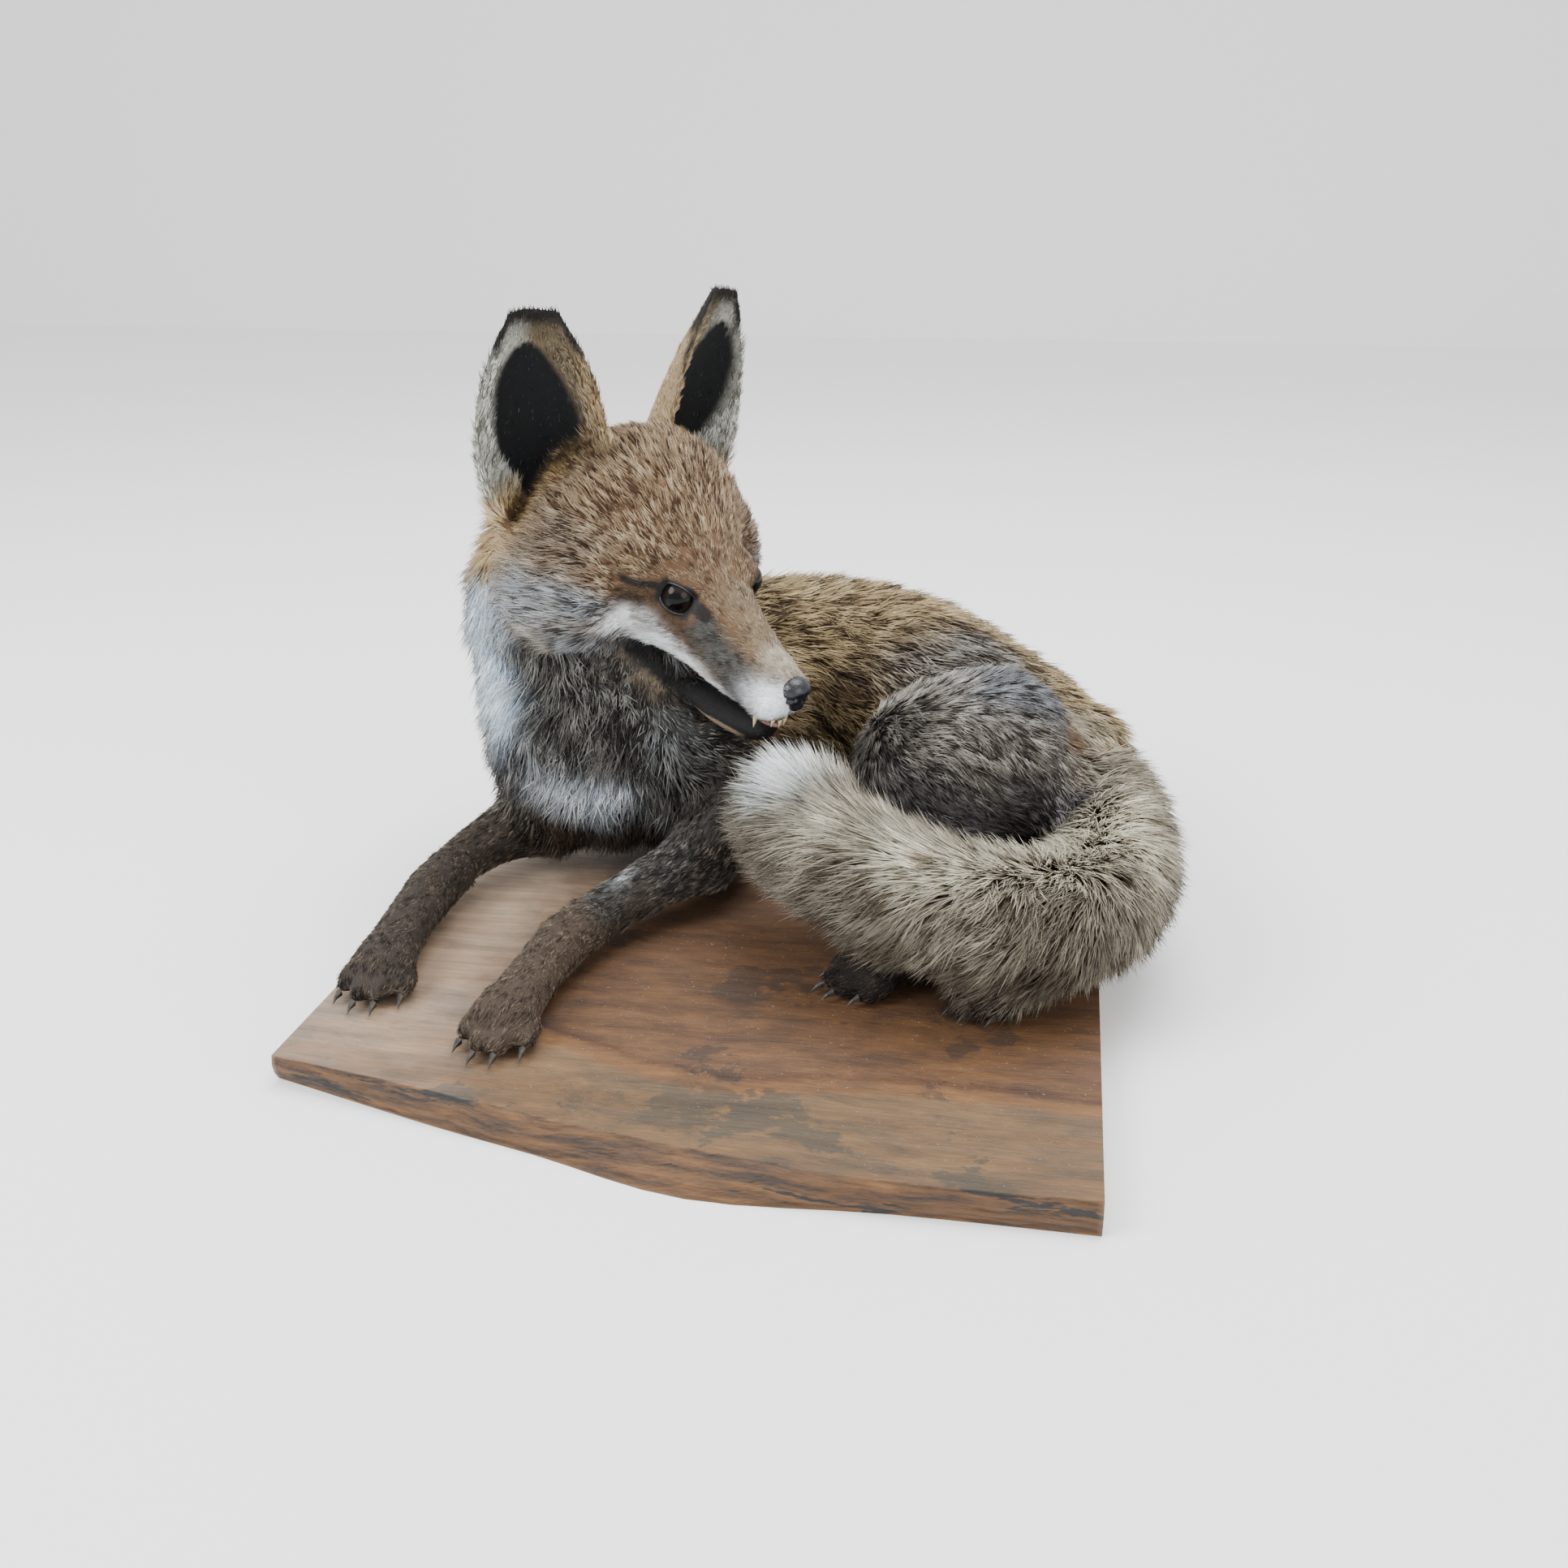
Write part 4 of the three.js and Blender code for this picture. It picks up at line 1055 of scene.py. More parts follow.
def grow_coat(name, skin, which, count, finish, form):
    """One piece of the coat: a mesh of tufts, grouped in locks, rooted on the triangles in the mask."""
    at, uv = skin.scatter(which, count)
    p, n = at(skin.p), unit(at(skin.n))
    length, width = at(skin.length), at(skin.width)
    unrest = at(skin.unrest)
    swirl = unrest * ((patchy(p, 14 * MM, 5) - 0.5) * SWIRL + chance.normal(0, SWIRL_EACH, count))
    lie = turned(unit(across(at(skin.lie), n)), n, swirl)
    length = length * (LENGTHS[0] + LENGTHS[1] * chance.random(count))
    length = length * (LENGTH_PATCHES[0] + LENGTH_PATCHES[1] * patchy(p, 10 * MM, 6))
    width = width * (WIDTHS[0] + WIDTHS[1] * chance.random(count))
    ruffle = RUFFLES[0] + RUFFLES[1] * patchy(p, 8 * MM, 7)
    first = np.radians(at(skin.root_lift) * ruffle + chance.normal(0, LIFT_EACH, count))
    last = np.radians(at(skin.tip_lift) * ruffle + chance.normal(0, LIFT_EACH, count))
    heads = np.arange(0, count, LOCK_HAIRS)  # neighbours lean towards one hair among them
    tree = KDTree(len(heads))
    for k, place in enumerate(p[heads].tolist()):
        tree.insert(place, k)
    tree.balance()
    lock = np.array([tree.find(place)[1] for place in p.tolist()])
    lean = across(p[heads][lock] - p, n)
    most = length * np.where(length > LONG, LEAN_LONG, LEAN_SHORT)
    lean *= np.minimum(1, most / np.maximum(np.linalg.norm(lean, axis=1), 1e-9))[:, None]
    bend = chance.normal(0, BEND_LOCK, len(heads))[lock] + chance.normal(0, BEND_EACH, count)
    lift_all = chance.normal(0, LIFT_LOCK, len(heads))[lock]
    first, last = first + np.radians(lift_all), last + np.radians(lift_all)
    draw = np.where(chance.random(count) < LOCK_SHARE, chance.random(len(heads))[lock], chance.random(count))

    verts, faces = form
    t = verts[:, 2]
    side = np.cross(lie, n)
    angle = first[:, None] + (last - first)[:, None] * t / 2
    path = (lie[:, None] * np.cos(angle)[..., None] + n[:, None] * np.sin(angle)[..., None])
    path = path * (length[:, None] * t)[..., None]
    path += side[:, None] * (bend * length)[:, None, None] * (t ** 2)[None, :, None]
    path += lean[:, None] * (0.8 * t ** 1.2)[None, :, None]
    tip_angle = first[:, None] + (last - first)[:, None] * t
    rise = n[:, None] * np.cos(tip_angle)[..., None] - lie[:, None] * np.sin(tip_angle)[..., None]
    half = width[:, None] / 2
    ring = side[:, None] * (verts[:, 0] * half)[..., None]
    ring += rise * (verts[:, 1] * half * TUFT_FLAT)[..., None]
    sunk = n * np.minimum(SUNK * length, MOST_SUNK)[:, None]
    co = p[:, None] - sunk[:, None] + path + ring
    floor = BOARD_TOP + CLEAR + CLEAR_EACH * chance.random(count)[:, None]
    co[..., 2] = np.maximum(co[..., 2], floor)

    root, mid, tip = fur_colours(at(skin.wear), draw)
    mottle = sum(by * (patchy(p, size, seed) - 0.5) for by, size, seed in MOTTLES)
    tone = (1 + mottle * (0.6 + 0.4 * unrest))[:, None]
    low = np.clip(t * 2, 0, 1)[None, :, None]
    high = np.clip(t * 2 - 1, 0, 1)[None, :, None]
    tint = root[:, None] * (1 - low) + mid[:, None] * (low - high) + tip[:, None] * high
    tint = np.clip(tint * tone[:, None], 0, 1)

    mesh = bpy.data.meshes.new(name)
    mesh.vertices.add(len(verts) * count)
    mesh.vertices.foreach_set("co", co.astype(np.float32).ravel())
    corners = (faces[None] + (np.arange(count) * len(verts))[:, None, None]).reshape(-1, 3)
    mesh.loops.add(corners.size)
    mesh.loops.foreach_set("vertex_index", corners.ravel().astype(np.int32))
    mesh.polygons.add(len(corners))
    mesh.polygons.foreach_set("loop_start", np.arange(0, corners.size, 3, dtype=np.int32))
    give_colour(mesh, tint.reshape(-1, 3))
    patch = uv[:, None] + PATCH / 2 * np.stack([verts[:, 0], 2 * t - 1], 1)[None]
    patch = patch.reshape(-1, 2)[corners.ravel()].astype(np.float32)
    mesh.uv_layers.new(name="OFBake").data.foreach_set("uv", patch.ravel())
    smooth(mesh)
    mesh.validate()
    return put(name, mesh, finish)


# ---------------- finishes

def material(name):
    """A new node material, its tree and its shader."""
    m = bpy.data.materials.new(name)
    m.use_nodes = True
    return m, m.node_tree, m.node_tree.nodes["Principled BSDF"]


def feed(tree, made, inputs):
    """Sets inputs of a node, each to a plain value or to another node's output."""
    for key, value in dict(inputs).items():
        if isinstance(value, bpy.types.NodeSocket):
            tree.links.new(value, made.inputs[key])
        else:
            made.inputs[key].default_value = value


def node(tree, kind, inputs=(), **settings):
    made = tree.nodes.new(kind)
    for key, value in settings.items():
        setattr(made, key, value)
    feed(tree, made, inputs)
    return made


def own_places(tree):
    return node(tree, "ShaderNodeTexCoord").outputs["Object"]


def attribute(tree, name, output="Fac"):
    return node(tree, "ShaderNodeAttribute", attribute_name=name).outputs[output]


def noise(tree, place, scale, detail, rough=0.5):
    return node(tree, "ShaderNodeTexNoise",
                {"Vector": place, "Scale": scale, "Detail": detail, "Roughness": rough}).outputs[0]


def vector_maths(tree, how, a, b):
    key = "Scale" if how == "SCALE" else 1
    output = "Value" if how == "DOT_PRODUCT" else 0
    return node(tree, "ShaderNodeVectorMath", {0: a, key: b}, operation=how).outputs[output]


def mapped(tree, value, **ends):
    """A value carried from one span to another: from_min, from_max, to_min and to_max."""
    inputs = {key.replace("_", " ").title(): end for key, end in ends.items()}
    return node(tree, "ShaderNodeMapRange", {"Value": value, **inputs}).outputs[0]


def blend_colour(tree, factor, a, b, how="MIX"):
    return node(tree, "ShaderNodeMix", {0: factor, 6: a, 7: b}, data_type="RGBA", blend_type=how).outputs[2]


def bumped(tree, height, strength, distance, invert=False):
    return node(tree, "ShaderNodeBump", {"Height": height, "Strength": strength, "Distance": distance},
                invert=invert).outputs[0]


def chart(r, g, b):
    return (*colour(r, g, b), 1)


def ramp_node(tree, value, stops, how="LINEAR"):
    """Colours along a value: each a grey, the three numbers of a paint chart, or light with its alpha."""
    made = node(tree, "ShaderNodeValToRGB", {"Fac": value})
    made.color_ramp.interpolation = how
    elements = made.color_ramp.elements
    while len(elements) < len(stops):
        elements.new(0.5)
    for element, (at, c) in zip(elements, stops):
        element.position = at
        element.color = (c, c, c, 1) if isinstance(c, float) else chart(*c) if len(c) == 3 else c
    return made.outputs["Color"]


HAIR_STRETCH = 0.86  # the share of the way along the lie that the noise of the hairs doesn't see


def lying_hair_group():
    """The height of fine hairs that follow the lie of the fur."""
    group = bpy.data.node_groups.new("lying hair", "ShaderNodeTree")
    for name, kind in (("Lie", "NodeSocketVector"), ("Scale", "NodeSocketFloat")):
        group.interface.new_socket(name, in_out="INPUT", socket_type=kind)
    group.interface.new_socket("Height", in_out="OUTPUT", socket_type="NodeSocketFloat")
    start = group.nodes.new("NodeGroupInput")
    end = group.nodes.new("NodeGroupOutput")
    where = own_places(group)
    lie = start.outputs["Lie"]
    along = vector_maths(group, "DOT_PRODUCT", where, lie)
    squeeze = node(group, "ShaderNodeMath", {0: along, 1: HAIR_STRETCH}, operation="MULTIPLY").outputs[0]
    place = vector_maths(group, "SUBTRACT", where, vector_maths(group, "SCALE", lie, squeeze))
    feed(group, end, {"Height": noise(group, place, start.outputs["Scale"], 3.0, 0.65)})
    return group


def skin_finish():
    m, tree, shader = material("short fur and bare skin")
    height = node(tree, "ShaderNodeGroup", {"Lie": attribute(tree, "lie", "Vector"), "Scale": 1100},
                  node_tree=lying_hair_group()).outputs["Height"]
    shade = ramp_node(tree, height, ((0.3, 0.6), (0.7, 1.3)))
    feed(tree, shader, {
        "Base Color": blend_colour(tree, 1.0, attribute(tree, "coat colour", "Color"), shade, "MULTIPLY"),
        "Roughness": mapped(tree, attribute(tree, "bare"), to_min=0.8, to_max=0.5),
        "Normal": bumped(tree, height, 0.5, 0.6 * MM), "Specular IOR Level": 0.3,
    })
    return m


def coat_finish():
    m, tree, shader = material("guard hair")
    grain = noise(tree, own_places(tree), 900.0, 2.0)
    shade = ramp_node(tree, grain, ((0.3, 0.82), (0.7, 1.16)))
    feed(tree, shader, {
        "Base Color": blend_colour(tree, 1.0, attribute(tree, "coat colour", "Color"), shade, "MULTIPLY"),
        "Roughness": mapped(tree, grain, to_min=0.5, to_max=0.72),
        "Specular IOR Level": 0.35,
    })
    return m


def plain_finish(name, dark, light, roughness, scale=900.0, detail=3.0, relief=()):
    """Grain between two colours; relief is the strength and the depth, in metres, that it stands up by."""
    m, tree, shader = material(name)
    grain = noise(tree, own_places(tree), scale, detail)
    tone = ramp_node(tree, grain, ((0.3, dark), (0.7, light)))
    feed(tree, shader, {"Base Color": tone, "Roughness": roughness})
    if relief:
        feed(tree, shader, {"Normal": bumped(tree, grain, *relief)})
    return m


# ---------------- the pieces

def unwrapped(mesh):
    """The skin's own unwrap, one place in it for each corner of its faces."""
    carrier = into_scene("unwrap", mesh)
    mesh.uv_layers.new(name="skin map")
    bpy.context.view_layer.objects.active = carrier
    for other in bpy.context.selected_objects:
        other.select_set(False)
    carrier.select_set(True)
    bpy.ops.object.mode_set(mode="EDIT")
    bpy.ops.mesh.select_all(action="SELECT")
    bpy.ops.uv.smart_project(angle_limit=math.radians(66), island_margin=0.002)
    bpy.ops.object.mode_set(mode="OBJECT")
    uv = np.empty(len(mesh.loops) * 2, np.float32)
    mesh.uv_layers["skin map"].data.foreach_get("uv", uv)
    bpy.data.objects.remove(carrier)
    return uv.reshape(-1, 2)


UNDER_SHORT, UNDER_LONG = (0.65, 0.35), 0.75  # shares of the root's and middle's colours under the hair
SHORT_TO_LONG = (5 * MM, 16 * MM)


def make_skin():
    """The skin, coloured like the roots of its fur, in the place of every part that has a coat."""
    mesh = joined(make_body_form(), make_fine_form())
    mesh.name = "skin"
    skin = Skin(mesh)
    skin.tri_uv = unwrapped(mesh)[skin.tri_loops]
    smooth(mesh)
    root, middle, _ = fur_colours(skin.wear, np.full(len(skin.p), 0.5))
    long = ramp(skin.length, *SHORT_TO_LONG)[:, None]
    tint = (root * UNDER_SHORT[0] + middle * UNDER_SHORT[1]) * (1 - long) + root * UNDER_LONG * long
    give_colour(mesh, tint)
    give(mesh, "lie", skin.lie, "FLOAT_VECTOR", "vector")
    give(mesh, "bare", skin.bare)
    piece = put("skin", mesh, skin_finish())
    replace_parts(piece, *REGIONS)
    return skin


COAT_PIECES = (  # (name, the starts of its regions' names, slot)
    ("coat_face", ("head", "lower_jaw"), "red_fur"),
    ("coat_ears", ("ear",), "dark_fur"),
    ("coat_neck", ("neck",), "pale_fur"),
    ("coat_trunk", ("trunk",), "red_fur"),
    ("coat_haunch", ("thigh", "hindleg"), "red_fur"),
    ("coat_legs", ("fore", "hindfoot"), "dark_fur"),
    ("coat_tail", ("tail",), "tail_fur"),
)


def make_coat(skin):
    """The pieces of the coat, each of a few regions and of short or of long tufts."""
    finish = coat_finish()
    short_form, long_form = tuft_form(False), tuft_form(True)
    region = skin.shares[skin.tri_vertices].sum(1).argmax(1)
    long = skin.length[skin.tri_vertices].mean(1) > LONG
    number = skin.tri_area * skin.density[skin.tri_vertices].mean(1)
    for name, starts, slot in COAT_PIECES:
        mine = np.isin(region, [k for k, r in enumerate(REGIONS) if r.startswith(starts)])
        for kind, mask, form in (("short", mine & ~long, short_form), ("long", mine & long, long_form)):
            count = int(number[mask].sum())
            if count < FEWEST:
                continue
            splits = math.ceil(count * len(form[1]) / PIECE_TRIANGLES)
            for k in range(splits):
                full = name + "_" + kind + ("_%d" % (k + 1) if splits > 1 else "")
                grow_coat(full, skin, mask, count // splits, finish, form)


# ---------------- eyes, nose, teeth and claws

IRIS = (  # (radius as a share of the eyeball's, colour) from the pupil's middle to the dark rim
    (0.0, (3, 3, 4)), (0.42, (4, 4, 5)), (0.47, (20, 15, 12)), (0.62, (34, 25, 18)), (0.74, (16, 13, 12)),
    (0.80, (8, 7, 8)),
)
CORNEA, CORNEA_START = 0.035, 0.72  # how proud it stands in the middle, and where it starts


def make_eyes():
    m, tree, shader = material("glass eye")
    fibre = noise(tree, own_places(tree), 1600.0, 3.0)
    shade = ramp_node(tree, fibre, ((0.3, 0.6), (0.7, 1.3)))
    rings = ramp_node(tree, attribute(tree, "from pupil"), IRIS)
    feed(tree, shader, {
        "Base Color": blend_colour(tree, 1.0, rings, shade, "MULTIPLY"), "Roughness": 0.12,
        "Specular IOR Level": 0.08, "Coat Weight": 0.14, "Coat Roughness": 0.02,
    })
    for side, name in SIDES:
        turn = Vector(eye_axes(side)[0]).to_track_quat("Z", "Y").to_matrix().to_4x4()
        bm = bmesh.new()
        bmesh.ops.create_uvsphere(bm, u_segments=64, v_segments=48, radius=1)
        for v in bm.verts:
            v.co *= 1 + CORNEA * max(0, v.co.z - CORNEA_START) / (1 - CORNEA_START)
        away = [math.hypot(v.co.x, v.co.y) if v.co.z > 0 else 1.0 for v in bm.verts]
        matrix = Matrix.Translation(head_point(*EYE_AT[side])) @ HEAD_TURN.to_4x4() @ turn
        matrix = matrix @ Matrix.Scale(EYE_RADIUS * HEAD_SCALE * MM, 4)
        bmesh.ops.transform(bm, matrix=matrix, verts=bm.verts)
        mesh = mesh_of(bm, "eye_" + name + "_glass")
        give(mesh, "from pupil", away)
        smooth(mesh)
        piece = put("eye_" + name + "_glass", mesh, m)
        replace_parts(piece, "eye_" + name)


def closed_tube(points, radius):
    """A mesh tube round a closed line of points, in metres."""
    curve = bpy.data.curves.new("tube", "CURVE")
    curve.dimensions = "3D"
    curve.bevel_depth = radius
    curve.bevel_resolution = 4
    spline = curve.splines.new("POLY")
    spline.points.add(len(points) - 1)
    for point, p in zip(spline.points, points):
        point.co = (*p, 1)
    spline.use_cyclic_u = True
    carrier = into_scene("tube", curve)
    mesh = bpy.data.meshes.new_from_object(carrier.evaluated_get(bpy.context.evaluated_depsgraph_get()))
    bpy.data.objects.remove(carrier)
    return mesh


RIM_POINTS = 72
RIM_OUT, RIM_PROUD = 0.15, 0.35  # how far the rim lies outside a lid's edge, and off the eyeball


def make_lids():
    """The dark wet rims of the eyelids, on the edge of each opening."""
    finish = plain_finish("eyelid rim", (20, 18, 18), (58, 56, 58), 0.38, detail=4.0, relief=(0.4, 0.3 * MM))
    for side, name in SIDES:
        gaze, slit, up = eye_axes(side)
        points = []
        for k in range(RIM_POINTS):
            a = 2 * math.pi * k / RIM_POINTS
            half = UPPER_LID if math.sin(a) > 0 else LOWER_LID
            edge = 1 / math.hypot(math.cos(a) / LID_HALF, math.sin(a) / half)
            arc = (edge + RIM_OUT) / EYE_RADIUS
            way = gaze * math.cos(arc) + (slit * math.cos(a) + up * math.sin(a)) * math.sin(arc)
            points.append(head_point(*(EYE_AT[side] + way * (EYE_RADIUS + RIM_PROUD))))
        mesh = closed_tube(points, LID_RIM * MM)
        smooth(mesh)
        put("lid_rim_" + name, mesh, finish)


def leather_finish():
    m, tree, shader = material("nose leather")
    pebble = node(tree, "ShaderNodeTexVoronoi", {"Vector": own_places(tree), "Scale": 1500.0},
                  feature="SMOOTH_F1").outputs["Distance"]
    feed(tree, shader, {
        "Base Color": ramp_node(tree, pebble, ((0.0, (22, 26, 34)), (0.7, (7, 8, 10)))),
        "Normal": bumped(tree, pebble, 0.35, 0.4 * MM, invert=True), "Roughness": 0.28,
    })
    return m


NOSE_FORMS = (  # (centre, half sizes) of the balls that the nose is made of, on the left side
    ((68.0, 0, -18.6), (7.2, 8.0, 5.6)),
    ((68.6, 3.4, -20.5), (6.2, 4.6, 5.6)),
    ((69, 0, -25), (5.4, 4.0, 5.6)),
)
NOSE_PRESSED = (  # (centre, reach, how deep): a nostril, and the slit beside its wing
    ((73.6, 4.2, -21.4), (3.4, 2.0, 1.7), 3.0),
    ((71.5, 7.4, -22.6), (3.4, 1.4, 1.4), 1.8),
)
NOSE_SLIT = (0.7, 70, (17, 20), 1.0)  # half width, where it starts along x and down, and how deep
NOSE_VOXEL = 0.45 * MM


def make_nose():
    grown = bpy.data.meshes.new("nose_leather")
    for centre, half in NOSE_FORMS:
        for side in (-1, 1):
            bm = bmesh.new()
            head_ball(bm, on_side(side, centre), half)
            add_to(grown, bm)
    mesh = applied(grown, "REMESH", mode="VOXEL", voxel_size=NOSE_VOXEL)
    ties = Ties(mesh)
    q = in_head(ties.even(places(mesh), 8))
    half, start, down, deep = NOSE_SLIT
    pressed = deep * np.exp(-(q[:, 1] / half) ** 2) * (q[:, 0] > start) * ramp(-q[:, 2], *down)
    for centre, reach, deep in NOSE_PRESSED:
        pressed = pressed + deep * np.exp(-(((mirrored(q) - centre) / reach) ** 2).sum(1))
    q = q - outward(mesh) @ np.array(HEAD_TURN) * pressed[:, None]
    move_to(mesh, out_of_head(ties.even(q, 1, 0.3)))
    smooth(mesh)
    mesh.name = "nose_leather"
    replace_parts(put("nose_leather", mesh, leather_finish()), "nose")


TEETH = (  # (foot, way, length, radius) in head millimetres, on the left side
    ((55, 8.6, -39), (0.05, 0.18, -1), 7.6, 1.6),
    ((62.5, 4.6, -39), (0.1, 0.05, -1), 4.6, 1.1),
    ((64.5, 1.6, -39), (0.15, 0, -1), 4.4, 1.1),
)
TOOTH_TIP, TOOTH_TAPER, TOOTH_BEND = 0.12, 0.25, 0.18


def make_tooth(name, foot, way, length, radius, finish):
    """A tooth: a cone of its own, bent a little."""
    bm = bmesh.new()
    bmesh.ops.create_cone(bm, cap_ends=True, segments=24, radius1=1, radius2=TOOTH_TIP, depth=1,
                          matrix=Matrix.Translation((0, 0, 0.5)))
    upright = [e for e in bm.edges if abs(e.verts[0].co.z - e.verts[1].co.z) > 0.5]
    bmesh.ops.subdivide_edges(bm, edges=upright, cuts=5)
    for v in bm.verts:
        x, y, z = v.co
        thick = radius * (1 - TOOTH_TAPER * z ** 2)
        v.co = (x * thick, y * thick - TOOTH_BEND * length * z ** 2, z * length)
    turn = Vector(way).to_track_quat("Z", "Y").to_matrix().to_4x4()
    bmesh.ops.transform(bm, matrix=HEAD_FRAME @ Matrix.Translation(foot) @ turn, verts=bm.verts)
    mesh = mesh_of(bm, name)
    smooth(mesh)
    put(name, mesh, finish)


def make_teeth():
    enamel = plain_finish("tooth enamel", (196, 176, 132), (238, 226, 192), 0.35)
    gum = plain_finish("gum", (96, 66, 60), (146, 116, 106), 0.4)
    for k, (foot, way, length, radius) in enumerate(TEETH):
        for side, name in SIDES:
            make_tooth("tooth_%s_%d" % (name, k + 1), on_side(side, foot), on_side(side, way), length, radius,
                       enamel)
    bm = bmesh.new()
    head_ball(bm, (56, 0, -42.5), (9, 6.4, 2.6))
    mesh = mesh_of(bm, "gum")
    smooth(mesh)
    put("gum", mesh, gum)


def finish_claws():
    horn = plain_finish("claw horn", (20, 17, 14), (58, 51, 43), 0.52, 420.0, 4.0)
    for name in nodes:
        if name.startswith("claw"):
            nodes[name].data.materials.clear()
            nodes[name].data.materials.append(horn)


# ---------------- the board

HEART_LEFT = (-0.140, -0.060)  # along x, where the pale wood ends and the heartwood starts
HEART_SPAN = (-0.1, 0.2)  # the part of the board, along x, over which the heartwood's front edge winds
HEART_BACK = -0.160
HEART_WIND = 0.05
HEART_EDGE = ((0.0, 0.9), (0.13, 0.68), (0.23, 0.44), (0.34, 0.19), (0.43, 0.14), (0.51, 0.31), (0.62, 0.39),
              (0.79, 0.43), (0.95, 0.34))  # shares of that span and of the wind
GRAIN_LINES = (3.2, 120.0, 120.0)  # how the noise of each kind is stretched
GRAIN_WAVES = (1.6, 26.0, 26.0)
GRAIN_PORES = (20.0, 620.0, 620.0)
BARK = (26.0, 90.0, 330.0)
CRUST = (16.0, 20.0, 130.0)
GRAIN_WANDER, BORDER_SWAY = 0.02, 0.008
SAPWOOD = ((0.3, (110, 92, 68)), (0.5, (125, 106, 81)), (0.7, (139, 120, 95)))
PALE_WOOD = ((0.3, (186, 160, 137)), (0.5, (204, 180, 157)), (0.7, (217, 194, 172)))
HEARTWOOD = ((0.3, (76, 54, 38)), (0.5, (94, 68, 49)), (0.7, (108, 80, 60)))
BARK_TONES = ((0.34, (28, 17, 8)), (0.46, (68, 43, 18)), (0.6, (94, 62, 28)), (0.76, (122, 86, 46)))
CRUST_TONES = ((0.4, (8, 7, 6)), (0.7, (34, 28, 24)))
LINE_TONES = ((0.36, (0.8, 0.78, 0.76, 1)), (0.5, 1.0), (0.66, (1.12, 1.12, 1.1, 1)))
PORE_TONES = ((0.35, (0.88, 0.86, 0.84, 1)), (0.6, 1.06))
SMUDGE, DUSK = chart(78, 72, 62), chart(66, 54, 46)  # blotches on the sapwood and on the heartwood
AMBER, BORDER = chart(134, 84, 36), chart(76, 42, 27)  # bands before the heartwood's border and along it
SPECK = chart(200, 194, 184)


def wood_finish():
    """Pale wood on the left, sapwood, dark heartwood past a winding border, and bark on the live edge."""
    m, tree, shader = material("slab of timber")
    where = own_places(tree)
    wander = node(tree, "ShaderNodeTexNoise", {"Vector": where, "Scale": 9.0, "Detail": 2.0}).outputs["Color"]
    bent = vector_maths(tree, "ADD", where, vector_maths(tree, "SCALE", wander, GRAIN_WANDER))

    def maths(how, a, b=0.0):
        return node(tree, "ShaderNodeMath", {0: a, 1: b}, operation=how).outputs[0]

    def times(a, b):
        return maths("MULTIPLY", a, b)

    def grain(stretch, scale=1.0, detail=4.0, rough=0.6, place=bent):
        drawn = node(tree, "ShaderNodeMapping", {"Vector": place, "Scale": stretch}).outputs[0]
        return noise(tree, drawn, scale, detail, rough)

    def span(value, low, high):
        return node(tree, "ShaderNodeMapRange", {"Value": value, "From Min": low, "From Max": high},
                    interpolation_type="SMOOTHSTEP").outputs[0]

    waves, lines, pores = grain(GRAIN_WAVES), grain(GRAIN_LINES), grain(GRAIN_PORES, detail=3.0)
    parts = node(tree, "ShaderNodeSeparateXYZ", {0: where})
    sway = times(maths("SUBTRACT", grain((1, 1, 1), 60.0, place=where), 0.5), BORDER_SWAY)
    along = mapped(tree, parts.outputs["X"], from_min=HEART_SPAN[0], from_max=HEART_SPAN[1])
    winding = ramp_node(tree, along, HEART_EDGE, "B_SPLINE")
    border = maths("ADD", times(winding, HEART_WIND), HEART_BACK)
    past = maths("ADD", maths("SUBTRACT", parts.outputs["Y"], border), sway)
    left = span(maths("ADD", parts.outputs["X"], times(sway, 4.0)), *HEART_LEFT)

    def near_border(offset, low, high):
        away = maths("ABSOLUTE", maths("SUBTRACT", past, offset))
        return times(maths("SUBTRACT", 1.0, span(away, low, high)), left)

    smudge = grain((1, 1.8, 1), 24.0, place=where)
    specks = grain((1, 1, 1), 700.0, 1.0, place=where)
    sap, pale, core = (ramp_node(tree, waves, tones) for tones in (SAPWOOD, PALE_WOOD, HEARTWOOD))
    tone = blend_colour(tree, left, pale, sap)
    core = blend_colour(tree, times(span(smudge, 0.42, 0.76), 0.25), core, DUSK)
    for amount, over in (
        (times(span(smudge, 0.44, 0.78), 0.5), SMUDGE),
        (times(near_border(-0.005, 0.002, 0.010), 0.6), AMBER),
        (times(span(past, -0.001, 0.0025), left), core),
        (times(near_border(0.002, 0.0, 0.006), 0.75), BORDER),
    ):
        tone = blend_colour(tree, amount, tone, over)
    for value, tones in ((lines, LINE_TONES), (pores, PORE_TONES)):
        tone = blend_colour(tree, 1.0, tone, ramp_node(tree, value, tones), "MULTIPLY")
    tone = blend_colour(tree, times(span(specks, 0.72, 0.76), 0.5), tone, SPECK)
    rim = attribute(tree, "live edge")
    bark = grain(BARK, detail=6.0, rough=0.7)
    wane, crust = ramp_node(tree, bark, BARK_TONES), ramp_node(tree, bark, CRUST_TONES)
    covered = span(grain(CRUST, detail=5.0, rough=0.7), 0.56, 0.6)
    height = maths("ADD", times(pores, 0.2), times(bark, rim))
    feed(tree, shader, {
        "Base Color": blend_colour(tree, rim, tone, blend_colour(tree, covered, wane, crust)),
        "Roughness": 0.62, "Normal": bumped(tree, height, 0.8, 1.6 * MM),
    })
    return m


EDGE_CUTS = 5
EDGE_ROUGH = 1.1 * MM
EDGE_LUMPS = ((1, 2.5, 7 * MM, 30), (0.6, 2, 2.5 * MM, 31))  # (strength, how flat, size, seed)
EDGE_KEPT = 0.5 * MM  # the edge stays straight this close to the slab's top and bottom
HALF_BARK = 0.75  # the bark at the corners of the live edge


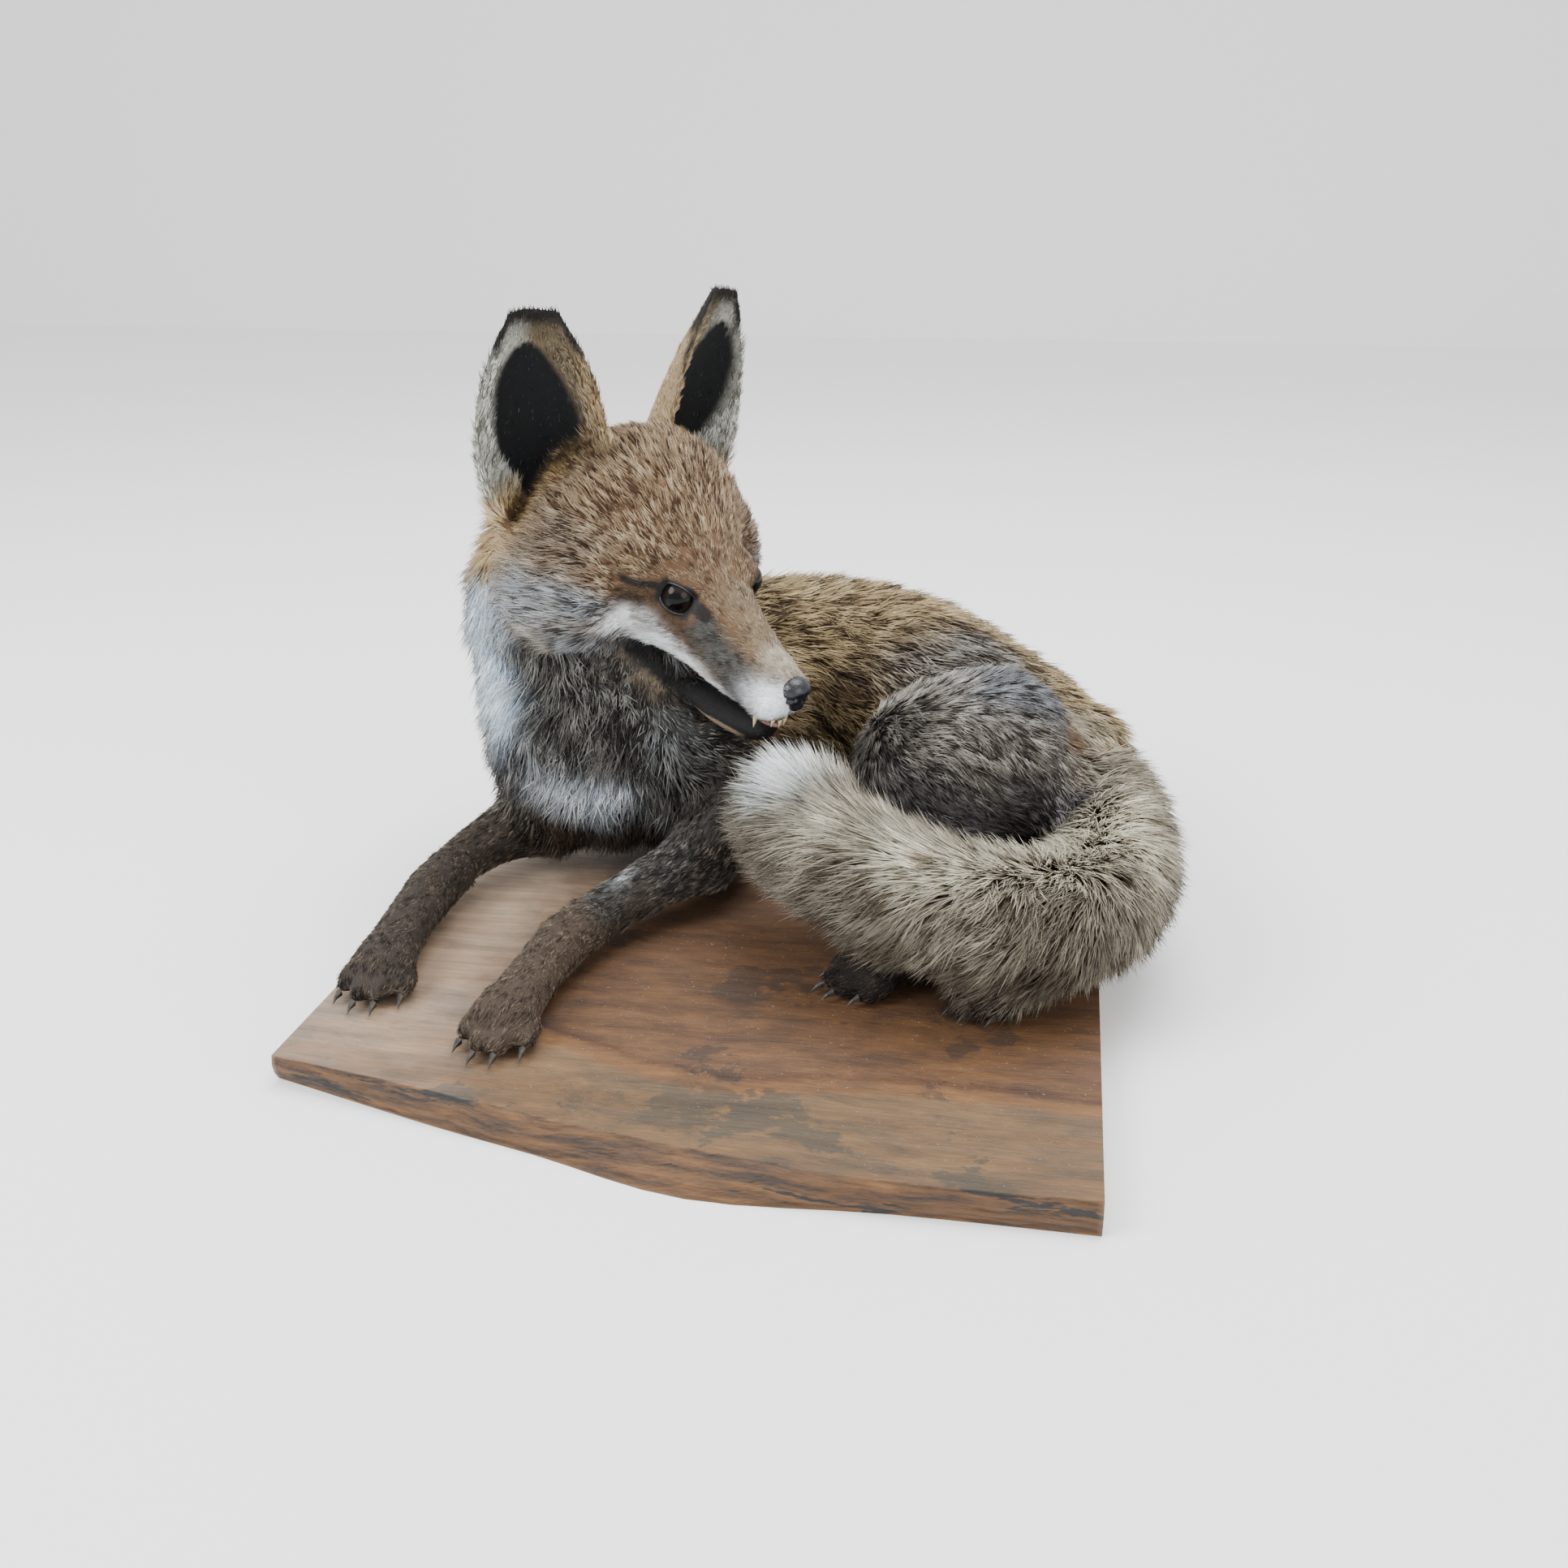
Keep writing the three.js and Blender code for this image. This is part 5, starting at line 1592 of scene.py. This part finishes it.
def make_board():
    """The slab, its front face cut finer and roughened like timber under peeled bark."""
    bm = bmesh.new()
    bm.from_mesh(nodes["board"].data)
    bmesh.ops.remove_doubles(bm, verts=bm.verts, dist=1e-6)
    bm.normal_update()
    edges = list({e for f in bm.faces if f.normal.y < -0.5 for e in f.edges})
    bmesh.ops.subdivide_edges(bm, edges=edges, cuts=EDGE_CUTS, use_grid_fill=True)
    bm.normal_update()
    top = max(v.co.z for v in bm.verts)
    live = []
    for v in bm.verts:
        on = all(f.normal.y < -0.3 for f in v.link_faces)
        corner = any(f.normal.y < -0.5 for f in v.link_faces) and not on
        live.append(1.0 if on else HALF_BARK if corner else 0.0)
        if on and EDGE_KEPT < v.co.z < top - EDGE_KEPT:
            lumps = sum(by * patchy(np.array([v.co]) * [1, 1, flat], size, seed)[0]
                        for by, flat, size, seed in EDGE_LUMPS)
            v.co.y += EDGE_ROUGH * (lumps - 0.5)
    mesh = mesh_of(bm, "timber_board")
    give(mesh, "live edge", live)
    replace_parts(put("timber_board", mesh, wood_finish()), "board")


# ---------------- room, light and camera

ROOM = 4  # metres from the middle of the floor to the wall behind
WALL = (0, 0.6, 5)
LIT = Vector((0, 0.05, 0.1))  # the place that every lamp faces
LAMPS = (  # (name, place, width, watts, colour)
    ("window", (-1.3, -1.0, 1.5), 1.3, 46, (0.93, 0.97, 1.0)),
    ("ceiling", (0.3, 0.4, 2.1), 1.6, 46, (1, 1, 1)),
    ("fill", (1.4, -1.2, 0.8), 1.4, 17, (1, 1, 1)),
)
ROOM_LIGHT = 1.35
FRAME = 1932  # pixels across the camera's frame
FOCAL = 1860  # the focal length, in the same pixels
SENSOR = 36
NEAREST = 0.02
CAMERA_AT = (0.150, -0.7116, 0.375)
CAMERA_TURN = (69, 0, 10.3)  # degrees


def make_room():
    """A pale floor that turns up into a wall behind the fox."""
    m, _, shader = material("pale floor")
    shader.inputs["Base Color"].default_value = (0.93, 0.93, 0.93, 1)
    shader.inputs["Roughness"].default_value = 0.9
    bm = bmesh.new()
    bmesh.ops.create_grid(bm, x_segments=1, y_segments=1, size=ROOM)
    edge = [e for e in bm.edges if all(v.co.y > ROOM - 0.1 for v in e.verts)]
    risen = bmesh.ops.extrude_edge_only(bm, edges=edge)
    bmesh.ops.translate(bm, verts=[v for v in risen["geom"] if isinstance(v, bmesh.types.BMVert)], vec=WALL)
    mesh = mesh_of(bm, "floor")
    mesh.materials.append(m)
    into_scene("floor", mesh)


def make_light():
    for name, at, size, power, tint in LAMPS:
        lamp = bpy.data.lights.new(name, "AREA")
        lamp.shape = "DISK"
        lamp.size = size
        lamp.energy = power
        lamp.color = tint
        holder = into_scene(name, lamp)
        holder.location = at
        holder.rotation_euler = (LIT - Vector(at)).to_track_quat("-Z", "Y").to_euler()
    world = bpy.data.worlds.new("room light")
    world.use_nodes = True
    background = world.node_tree.nodes["Background"]
    background.inputs["Color"].default_value = (1, 1, 1, 1)
    background.inputs["Strength"].default_value = ROOM_LIGHT
    bpy.context.scene.world = world


def make_camera():
    lens = bpy.data.cameras.new("camera")
    lens.sensor_width = SENSOR
    lens.lens = SENSOR * FOCAL / FRAME
    lens.clip_start = NEAREST
    holder = into_scene("camera", lens)
    holder.location = CAMERA_AT
    holder.rotation_euler = [math.radians(a) for a in CAMERA_TURN]
    bpy.context.scene.camera = holder


make_camera()
make_room()
make_light()
fox = make_skin()
make_coat(fox)
make_eyes()
make_lids()
make_nose()
make_teeth()
make_board()
finish_claws()
